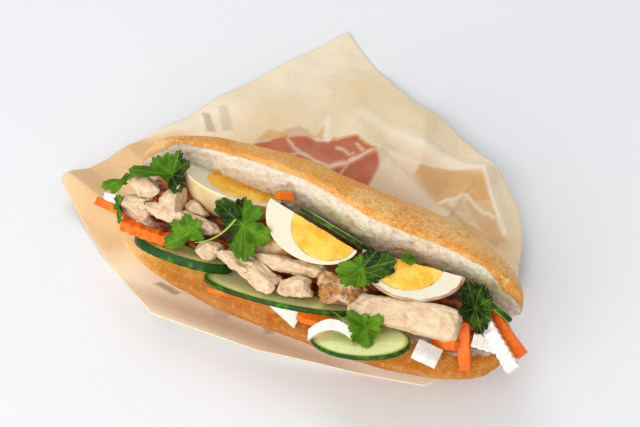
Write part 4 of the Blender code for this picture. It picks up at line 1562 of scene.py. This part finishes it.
@dataclass
class Paper:
    """The sheet of deli paper: flat under the loaf, standing in a fold behind it."""

    columns: int = 238
    rows: int = 206
    thickness: float = 0.3
    left: tuple[float, float] = (-176, 10)
    tip: tuple[float, float] = (-70, 209)
    right: tuple[float, float] = (98, 82)
    front_right: tuple[float, float] = (80, -28)
    front: tuple = ((-176, 10), (-134, -20), (-82, -51), (-16, -49), (80, -28))
    back: tuple = ((-70, 209), (-22, 173), (24, 150), (49, 133), (74, 116), (89, 100), (98, 82))
    side_left: tuple = ((-176, 10), (-142, 80), (-70, 209))
    side_right: tuple = ((80, -28), (102, 2), (109, 36), (98, 82))
    ridge: tuple = (
        (-112, 70, 3),
        (-74, 99, 10),
        (-52, 99, 17),
        (-37, 101, 15),
        (-20, 109, 22),
        (-2, 99, 26),
        (25, 99, 24),
        (60, 110, 22),
        (76, 92, 17),
        (97, 70, 12),
    )
    creases: tuple = (
        (-2, 99, 2, 58, 4.0, 8.0, 12),
        (60, 110, 48, 72, 0.0, 9.0, 12),
        (-37, 101, -46, 66, -3.0, 5.0, 10),
        (-20, 109, -58, 150, 0.0, 3.0, 18),
        (25, 99, 10, 148, 3.0, 7.0, 22),
        (60, 110, 66, 124, 2.0, 5.0, 16),
        (-172, 14, -126, 8, 8.0, 2.0, 15),
        (-150, 52, -118, 40, 3.0, 5.0, 16),
        (-36, 84, -2, 98, 1.5, 3.0, 6),
        (-45, 122, -38, 101, 1.5, 4.0, 7),
        (-27, 134, 22, 115, 1.0, 3.0, 12),
        (22, 115, 61, 112, 3.0, 3.0, 10),
        (61, 112, 88, 77, 3.0, 3.0, 8),
        (43, 87, 57, 94, 1.0, 2.5, 7),
        (57, 94, 78, 86, 2.5, 1.0, 7),
        (-149, 70, -129, 89, 2.0, 2.0, 8),
    )

    def along(self, corners: Sequence[Spot], share: np.ndarray) -> np.ndarray:
        """Points at these shares of a polyline's length.

        Args:
            corners: The polyline's corners.
            share: Shares from 0 to 1.

        Returns:
            Rows of x, y.
        """
        points = np.array(corners, float)
        lengths = np.concatenate(([0], np.cumsum(np.hypot(*np.diff(points, axis=0).T))))
        at = share * lengths[-1]
        return np.stack((np.interp(at, lengths, points[:, 0]), np.interp(at, lengths, points[:, 1])), 1)

    def ridge_height(self, points: np.ndarray) -> np.ndarray:
        """The standing fold: steep to the loaf in front of it, slow to the table behind.

        Args:
            points: Rows of x, y.

        Returns:
            The fold's height at each point.
        """
        nearest = np.full(len(points), 1e9)
        rise = np.zeros(len(points))
        behind = np.zeros(len(points), bool)
        for (ax, ay, az), (bx, by, bz) in zip(self.ridge, self.ridge[1:]):
            a, b = np.array((ax, ay), float), np.array((bx, by), float)
            share, away = nearest_on(a, b, points)
            distance = np.hypot(*away.T)
            closer = distance < nearest
            side = (b - a)[0] * away[:, 1] - (b - a)[1] * away[:, 0] > 0
            nearest = np.where(closer, distance, nearest)
            rise = np.where(closer, az + (bz - az) * share, rise)
            behind = np.where(closer, side, behind)
        return rise * np.maximum(0.0, 1 - nearest / np.where(behind, 78.0, 34.0))

    def height(self, points: np.ndarray) -> np.ndarray:
        """The height of the sheet's underside over the table.

        Args:
            points: Rows of x, y.

        Returns:
            The height at each point.
        """
        x, y = points.T
        free = np.maximum(smoothstep((y - 38) / 20), smoothstep((-112 - x) / 24))
        rise = self.ridge_height(points)
        for ax, ay, bx, by, rise_a, rise_b, reach in self.creases:
            share, away = nearest_on((ax, ay), (bx, by), points)
            rise += (rise_a + (rise_b - rise_a) * share) * np.maximum(0.0, 1 - np.hypot(*away.T) / reach)
        flat = np.stack((x, y, 0 * x), 1)
        rise += 1.5 + 2.2 * ripple(flat, 26.0)
        front = 6.0 * smoothstep((-30 - y) / 20) * smoothstep((60 - x) / 40)
        left = 8.0 * smoothstep((-136 - x) / 40)
        return front + left + free * np.maximum(0.0, rise)

    def build(self, finish: Material) -> None:
        """Model the sheet as a fine grid between its four edges, and dress it.

        Args:
            finish: The finish.
        """
        cells = {"x_subdivisions": self.columns, "y_subdivisions": self.rows}
        sheet = primitive("grid", "dressed_paper", size=2, **cells)
        flat = points_of(sheet) * MM
        u, v = (flat[:, 0] + 1) / 2, (flat[:, 1] + 1) / 2
        front, back = self.along(self.front, u), self.along(self.back, u)
        left, right = self.along(self.side_left, v), self.along(self.side_right, v)
        u, v = u[:, None], v[:, None]
        near_left, near_right, far_left, far_right = (
            np.array(corner, float) for corner in (self.left, self.front_right, self.tip, self.right)
        )
        points = front * (1 - v) + back * v + left * (1 - u) + right * u
        points -= (near_left * (1 - u) + near_right * u) * (1 - v) + (far_left * (1 - u) + far_right * u) * v
        height = self.height(points) + 0.1
        move_points(sheet, np.column_stack((points, height)))
        self._mark(sheet, points)
        modify(sheet, "SOLIDIFY", thickness=self.thickness * MM, offset=1.0)
        dress(sheet, finish, "paper", "paper_wrap")

    def _mark(self, sheet: Piece, points: np.ndarray) -> None:
        """Store the printed fields, the painted shade on the folded facets, and the painted light along the
        folds and on the strip in front of the loaf.

        Args:
            sheet: The sheet.
            points: Its points as rows of x, y.
        """
        shaken = np.stack((ripple(points[:, [0, 1, 1]], 7.0), ripple(points[:, [1, 0, 0]], 7.0)), 1)
        uneven = points + 0.8 * shaken
        red = field_mask(uneven, RED_FIELD, 2.0)
        faded = np.maximum(field_mask(uneven, FADED_FIELD, 4.0), 0.7 * field_mask(uneven, FADED_SPOT, 2.0))
        stripes = np.zeros(len(points))
        for route, width in PALE_LINES:
            stripes = np.maximum(stripes, line_mask(uneven, route, width))
        red = np.maximum(0.95 * red * (1 - 0.8 * stripes), 0.42 * faded)
        paint(sheet, "red", red * (0.9 + 0.1 * ripple(points[:, [0, 1, 1]], 12.0)))
        grey = np.zeros(len(points))
        for corners, strength in GREY_BARS:
            grey = np.maximum(grey, strength * field_mask(uneven, corners, 2.0))
        paint(sheet, "grey", grey)
        # Painted shade on the folded facets.
        tan = np.zeros(len(points))
        for corners, strength, soft in TAN_FIELDS:
            tan = np.maximum(tan, strength * field_mask(uneven, corners, soft))
        pale = np.zeros(len(points))
        # Painted highlights along the folds, and painted light on the strip in front of the loaf.
        for route, width, strength in PALE_FOLDS:
            pale = np.maximum(pale, strength * line_mask(uneven, route, width))
        paint(sheet, "fold", np.clip(tan - pale, 0, 1))
        paint(sheet, "worn", np.clip(pale, 0, 1))


# The paper's print, and its painted fold shade and light, as corners and routes on the sheet
RED_FIELD = (
    *((-82, 88), (-72, 95), (-64, 98), (-51, 100), (-38, 101), (-36, 104), (-21, 109)),
    *((-3, 98), (1, 92), (0, 81), (-2, 50), (-84, 50)),
)
FADED_SPOT = ((-53, -29), (-48, -25), (-41, -27), (-42, -34), (-49, -35))
FADED_FIELD = ((-68, 104), (-60, 109), (-53, 106), (-46, 102), (-50, 98), (-65, 97))
PALE_LINES = (
    (((-64, 98), (-57, 92), (-49, 89), (-32, 88)), 0.9),
    (((-58, 87), (-48, 90), (-36, 87)), 0.8),
    (((-24, 82), (-19, 92), (-4, 98)), 1.1),
    (((-36, 84), (-22, 93), (-3, 98)), 1.8),
    (((-31, 101), (-19, 98)), 0.8),
    (((-19, 105), (-12, 99)), 0.8),
)
GREY_BARS = (
    (((-126, 101), (-121, 103), (-110, 90), (-116, 89)), 0.65),
    (((-118, 109), (-113, 112), (-100, 95), (-106, 92)), 0.35),
    (((-93, -28), (-90, -25), (-75, -27), (-77, -30)), 0.8),
    (((-22, -28), (-18, -26), (-12, -30), (-17, -33)), 0.6),
)
# Painted shade on the folded facets and over the sheet's left and front.
TAN_FIELDS = (
    (((25, 100), (61, 112), (74, 96), (57, 93), (43, 87), (23, 90)), 0.75, 2.0),
    (((61, 112), (74, 96), (90, 74), (84, 70), (57, 93)), 0.45, 2.5),
    (((-178, 5), (-165, 60), (-140, 90), (-112, 72), (-98, 0), (-130, -22)), 0.6, 12.0),
    (((-3, 98), (4, 99), (43, 88), (88, 75), (86, 70), (42, 86), (23, 89)), 0.6, 3.0),
    (((-38, 101), (-36, 107), (-22, 111), (-3, 99), (-4, 96), (-21, 107)), 0.8, 2.0),
    (((-47, 103), (-44, 117), (-38, 101)), 0.7, 2.5),
    (((-82, 90), (-78, 101), (-66, 101), (-62, 97), (-74, 95)), 0.7, 3.0),
    (
        (
            *((-178, 5), (-150, 75), (-128, 60), (-110, 20), (-82, -20)),
            *((-10, -20), (70, -20), (84, -30), (-16, -55), (-85, -58)),
        ),
        0.3,
        20.0,
    ),
    (((-27, 128), (22, 108), (61, 106), (20, 100), (-2, 104)), 0.25, 10.0),
)
# Painted highlights along the folds, and painted light on the strip in front of the loaf.
PALE_FOLDS = (
    (((-45, 121), (-38, 101)), 2.0, 0.8),
    (((-27, 134), (22, 115), (61, 112)), 3.5, 0.5),
    (((61, 112), (88, 77)), 1.2, 0.8),
    (((43, 87), (57, 94), (78, 86)), 0.9, 0.6),
    (((3, 94), (36, 84)), 4.0, 0.7),
    (((-149, 72), (-129, 91), (-110, 112)), 5.0, 0.5),
    (((-96, -30), (-84, -38), (-16, -38), (70, -24)), 18.0, 1.0),
)


# The studio


@dataclass
class Studio:
    """The pale floor, the soft light and the camera at the photograph's angle."""

    azimuth: float = 24.0
    elevation: float = 52.0
    distance: float = 0.871
    aim: tuple[float, float, float] = (-0.0102, 0.0285, 0.045)
    lens: float = 85.0
    key_power: float = 24.0
    fill_power: float = 32.0
    sky: float = 0.52

    def build(self, finish: Material) -> None:
        """Set up the floor, the lights and the camera.

        Args:
            finish: The floor's finish.
        """
        floor = primitive("plane", "studio_floor", size=6)
        floor.data.materials.append(finish)
        self._lights()
        self._camera()
        bpy.context.scene.view_settings.view_transform = "Standard"

    def _lights(self) -> None:
        """One large soft key from behind on the left, a soft fill from the front, and an even sky."""
        world = bpy.data.worlds.new("studio_sky")
        world.use_nodes = True
        back = world.node_tree.nodes["Background"]
        back.inputs["Color"].default_value = (0.98, 0.99, 1.0, 1.0)
        back.inputs["Strength"].default_value = self.sky
        bpy.context.scene.world = world
        for name, power, size, place in (
            ("key_light", self.key_power, 1.65, (-1.1, 1.2, 2.5)),
            ("fill_light", self.fill_power, 2.0, (-0.2, -1.5, 0.85)),
        ):
            lamp = bpy.data.lights.new(name, "AREA")
            lamp.energy = power
            lamp.size = size
            lamp.color = (1.0, 0.98, 0.95)
            holder = bpy.data.objects.new(name, lamp)
            bpy.context.scene.collection.objects.link(holder)
            holder.location = place
            holder.rotation_euler = (-Vector(place)).to_track_quat("-Z", "Y").to_euler()

    def _camera(self) -> None:
        """The camera, looking down over the front of the loaf."""
        a, e = math.radians(self.azimuth), math.radians(self.elevation)
        forward = Vector((-math.sin(a) * math.cos(e), math.cos(a) * math.cos(e), -math.sin(e)))
        right = Vector((math.cos(a), math.sin(a), 0))
        lens = bpy.data.cameras.new("camera")
        lens.lens = self.lens
        lens.sensor_width = 36.0
        camera = bpy.data.objects.new("camera", lens)
        bpy.context.scene.collection.objects.link(camera)
        matrix = Matrix((right, right.cross(forward), -forward)).transposed().to_4x4()
        matrix.translation = Vector(self.aim) - forward * self.distance
        camera.matrix_world = matrix
        bpy.context.scene.camera = camera


# The sandwich


@dataclass
class Sandwich:
    """All the pieces, in the order in which they are laid."""

    finishes: dict[str, Material] = field(default_factory=dict)

    def mix_finishes(self) -> None:
        """Make every material."""
        make_patches()
        make_specks()
        make_grain()
        for key, finish in FINISHES.items():
            self.finishes[key] = finish.make()

    def build(self) -> None:
        """Lay the paper, the loaf, the filling and the herbs."""
        self.mix_finishes()
        Paper().build(self.finishes["paper"])
        loaf = Loaf().build()
        dress(loaf, self.finishes["bread"], "crust", "bread")
        PickleHeap().build(self.finishes["pickles"])
        for egg in EGGS:
            egg.build(self.finishes)
        for number, piece in enumerate(CHICKEN):
            piece.build(self.finishes["chicken"], 3.1 * number)
        for piece in CUCUMBERS:
            piece.build(self.finishes["cucumber"])
        for number, piece in enumerate(STICKS):
            piece.build(self.finishes[piece.root.value], 2.3 * number)
        ground = Ground([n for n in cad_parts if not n.startswith(("coriander", "paper"))])
        for leaf in LEAVES:
            leaf.build(self.finishes["herb"], ground)
        for stalk in (Stalk("coriander_stem_middle"), Stalk("coriander_stem_front")):
            stalk.build(self.finishes["herb"])


FINISHES = {
    "bread": BreadFinish("bread_crust_and_crumb", roughness=0.66, specular=0.15, subsurface=0.12, depth=1.5),
    "egg_white": EggWhiteFinish(
        "egg_white", roughness=0.34, specular=0.5, subsurface=0.25, depth=2.5, tint=(1, 0.8, 0.6)
    ),
    "egg_yolk": YolkFinish(
        "egg_yolk", roughness=0.55, specular=0.2, subsurface=0.12, depth=1.5, tint=(1, 0.6, 0.1)
    ),
    "chicken": ChickenFinish("poached_chicken", roughness=0.45, specular=0.45, subsurface=0.18, depth=2.0),
    "cucumber": CucumberFinish(
        "cucumber", roughness=0.3, specular=0.2, subsurface=0.05, depth=1.5, tint=(0.6, 1, 0.3)
    ),
    "carrot": RootFinish(
        "carrot", roughness=0.4, specular=0.25, subsurface=0.15, depth=1.5, tint=(1, 0.35, 0.08)
    ),
    "radish": RootFinish(
        "white_radish", 0.3, 0.5, 0.3, 2.5, tint=(1, 0.95, 0.9), light="EEEDE8", deep="DEDBD4"
    ),
    "herb": HerbFinish(
        "coriander", roughness=0.5, specular=0.12, subsurface=0.05, depth=0.8, tint=(0.5, 1, 0.2)
    ),
    "pickles": PickleFinish("shredded_pickles", roughness=0.4),
    "paper": PaperFinish(
        "deli_paper", roughness=0.5, specular=0.2, subsurface=0.1, depth=1.0, tint=(1, 0.8, 0.5)
    ),
    "table": TableFinish("pale_floor", roughness=0.6, specular=0.2),
}

EGGS = (
    Egg("egg_left", (-55, 22.2, 12.5), (-70, 0, -4), 180, 4, 9, browned=0.55),
    Egg("egg_middle", (0.4, 16.6, 30), (-2, -3, -11.4), 84, 7.5, browned=0.25),
    Egg("egg_right", (59.8, 14.8, 29), (-6, 2, 3.8), 84, -3.5, browned=0.8),
)

CHICKEN = (
    Chicken("chicken_slab_right", 6, 0.4, 0.1, faces=0),
    Chicken("chicken_lump_middle", 12, 1.3, 1.05, 0.6),
    Chicken("chicken_lump_front", 20, 1.1, 0.5),
    Chicken("chicken_strip_middle", -13, 1.3, 0.3),
    Chicken("chicken_strip_left", -3, 1.1, 0.3),
    Chicken("chicken_lump_left", 14, 0.9, 0.25),
    Chicken("chicken_strip_back", 10, 0.6, 0.1),
    Chicken("chicken_cube_left", -12, 0.6, 0.15),
    Chicken("chicken_wedge_left", 75, 0.5, 0.1),
    Chicken("chicken_cube_middle", 14, 0.6, 0.2),
    Chicken("chicken_bit_left", -20, 0.8, 0.3),
    Chicken("chicken_dark_middle", 8, 0.8, 0.9),
)

CUCUMBERS = (
    CucumberSlice("cucumber_slice_left", (-70.6, -23.8, 13.0), (-72.8, 3.6, 1.2), 30.2, 15),
    CucumberSlice("cucumber_slice_middle", (-6.6, -26.3, 15.5), (-68.2, 1.4, 7.5), 47.4, 16),
    CucumberSlice("cucumber_slice_right", (44.6, -34.5, 25.3), (-59, -12, 12), 29.5, 18),
    CucumberSlice("cucumber_slice_back", (9, 17.6, 18.5), (-95, 0, -11.4), 22, 9),
    CucumberSlice("cucumber_slice_right_end", (101, 8.5, 17.5), (-97, 0, -20), 18, 9),
)

STICKS = (
    Stick("carrot_stick_left_end", Root.CARROT),
    Stick("carrot_crinkle_left", Root.CARROT, (-89, -19.5, 26), (30, 6, 0), (34, 6.5, 5.5), 6, 0.5),
    Stick("carrot_stick_back", Root.CARROT),
    Stick("carrot_stick_under_left", Root.CARROT),
    Stick("carrot_stick_under_right", Root.CARROT),
    Stick("carrot_stick_small_right", Root.CARROT),
    Stick("carrot_stick_hanging", Root.CARROT),
    Stick("carrot_stick_right_end", Root.CARROT),
    Stick("radish_stick_left_end", Root.RADISH),
    Stick("radish_shard_middle", Root.RADISH),
    Stick("radish_curl_middle", Root.RADISH),
    Stick("radish_cube_right", Root.RADISH),
    Stick("radish_stick_right_inner", Root.RADISH, (111, -13.4, 16), (0, -8, 4), (19, 7.5, 6), 5),
    Stick("radish_stick_right_end", Root.RADISH, (116.8, -11.6, 25.5), (0, -14, -38), (31, 7.5, 5.5), 8),
)

LEFT_LOBES = (
    *((-168, 24, 17), (158, 15, 36), (118, 13, 34), (86, 15.5, 24)),
    *((54, 13.5, 34), (8, 9, 44), (-30, 14, 34)),
)
LEFT_END_LOBES = ((-147, 15, 26), (-120, 11, 22), (33, 9, 32), (85, 5, 36))
SMALL_LEFT_LOBES = ((141, 7, 44), (63, 6.5, 44), (-62, 11.5, 44), (-143, 5.5, 44))
MIDDLE_LEFT_LOBES = ((-137, 18.5, 30), (178, 13.5, 34), (124, 11, 38), (66, 9.5, 38), (-6, 8.5, 44))
MIDDLE_LOBES = (
    *((157, 20, 38), (104, 16, 36), (62, 15, 34), (-8, 19, 42)),
    *((-60, 21, 36), (-94, 15, 30), (-165, 12.5, 40)),
)
RIGHT_LOBES = (
    *((-160, 14, 43), (-126, 13, 43), (-84, 10, 49), (-40, 10, 49), (0, 13, 46)),
    *((33, 20.5, 46), (68, 14, 46), (112, 8.5, 54), (163, 8, 54)),
)
RIGHT_END_LOBES = (
    *((124, 14.5, 49), (90, 13.5, 43), (48, 11, 46), (12, 10, 40), (-20, 11, 43)),
    *((-54, 14.5, 43), (-90, 10, 49), (-140, 8, 54), (175, 8, 54)),
)
FRONT_LOBES = (
    *((160, 14, 26), (112, 8, 44), (48, 12, 36), (14, 9, 36)),
    *((-60, 11, 40), (-110, 10, 40), (-160, 9, 36)),
)
BACK_LOBES = ((170, 4.5, 80), (-15, 4.5, 80))

LEAVES = (
    Leaf("coriander_leaf_left", (-88, 16), 5, 25, 0.8, LEFT_LOBES, 0.1, 0.0),
    Leaf("coriander_leaf_left_end", (-114, 4), 2.5, 23, 0.5, LEFT_END_LOBES),
    Leaf("coriander_leaf_small_left", (-112, -10), 3, 20, 0.5, SMALL_LEFT_LOBES, 0.2),
    Leaf("coriander_leaf_middle_left", (-64, -10), 5, 26, 1.0, MIDDLE_LEFT_LOBES),
    Leaf("coriander_leaf_middle", (-38, 3), 7, 26, 1.2, MIDDLE_LOBES, 0.05, 185.0),
    Leaf("coriander_leaf_right", (34, 2), 6, 30, 1.0, RIGHT_LOBES, 0.0, 30.0),
    Leaf("coriander_leaf_right_end", (98, 3), 6, 22, 0.6, RIGHT_END_LOBES, 0.8, 195.0),
    Leaf("coriander_leaf_front", (46.5, -26.5), 4, 28, 0.6, FRONT_LOBES),
    Leaf("coriander_leaf_back", (56, 16), 2.5, 22, 0.2, BACK_LOBES),
)


def main() -> None:
    """Build the studio and the sandwich."""
    logging.basicConfig(level=logging.INFO, format="%(message)s")
    sandwich = Sandwich()
    sandwich.build()
    Studio().build(sandwich.finishes["table"])


if __name__ == "__main__":
    main()
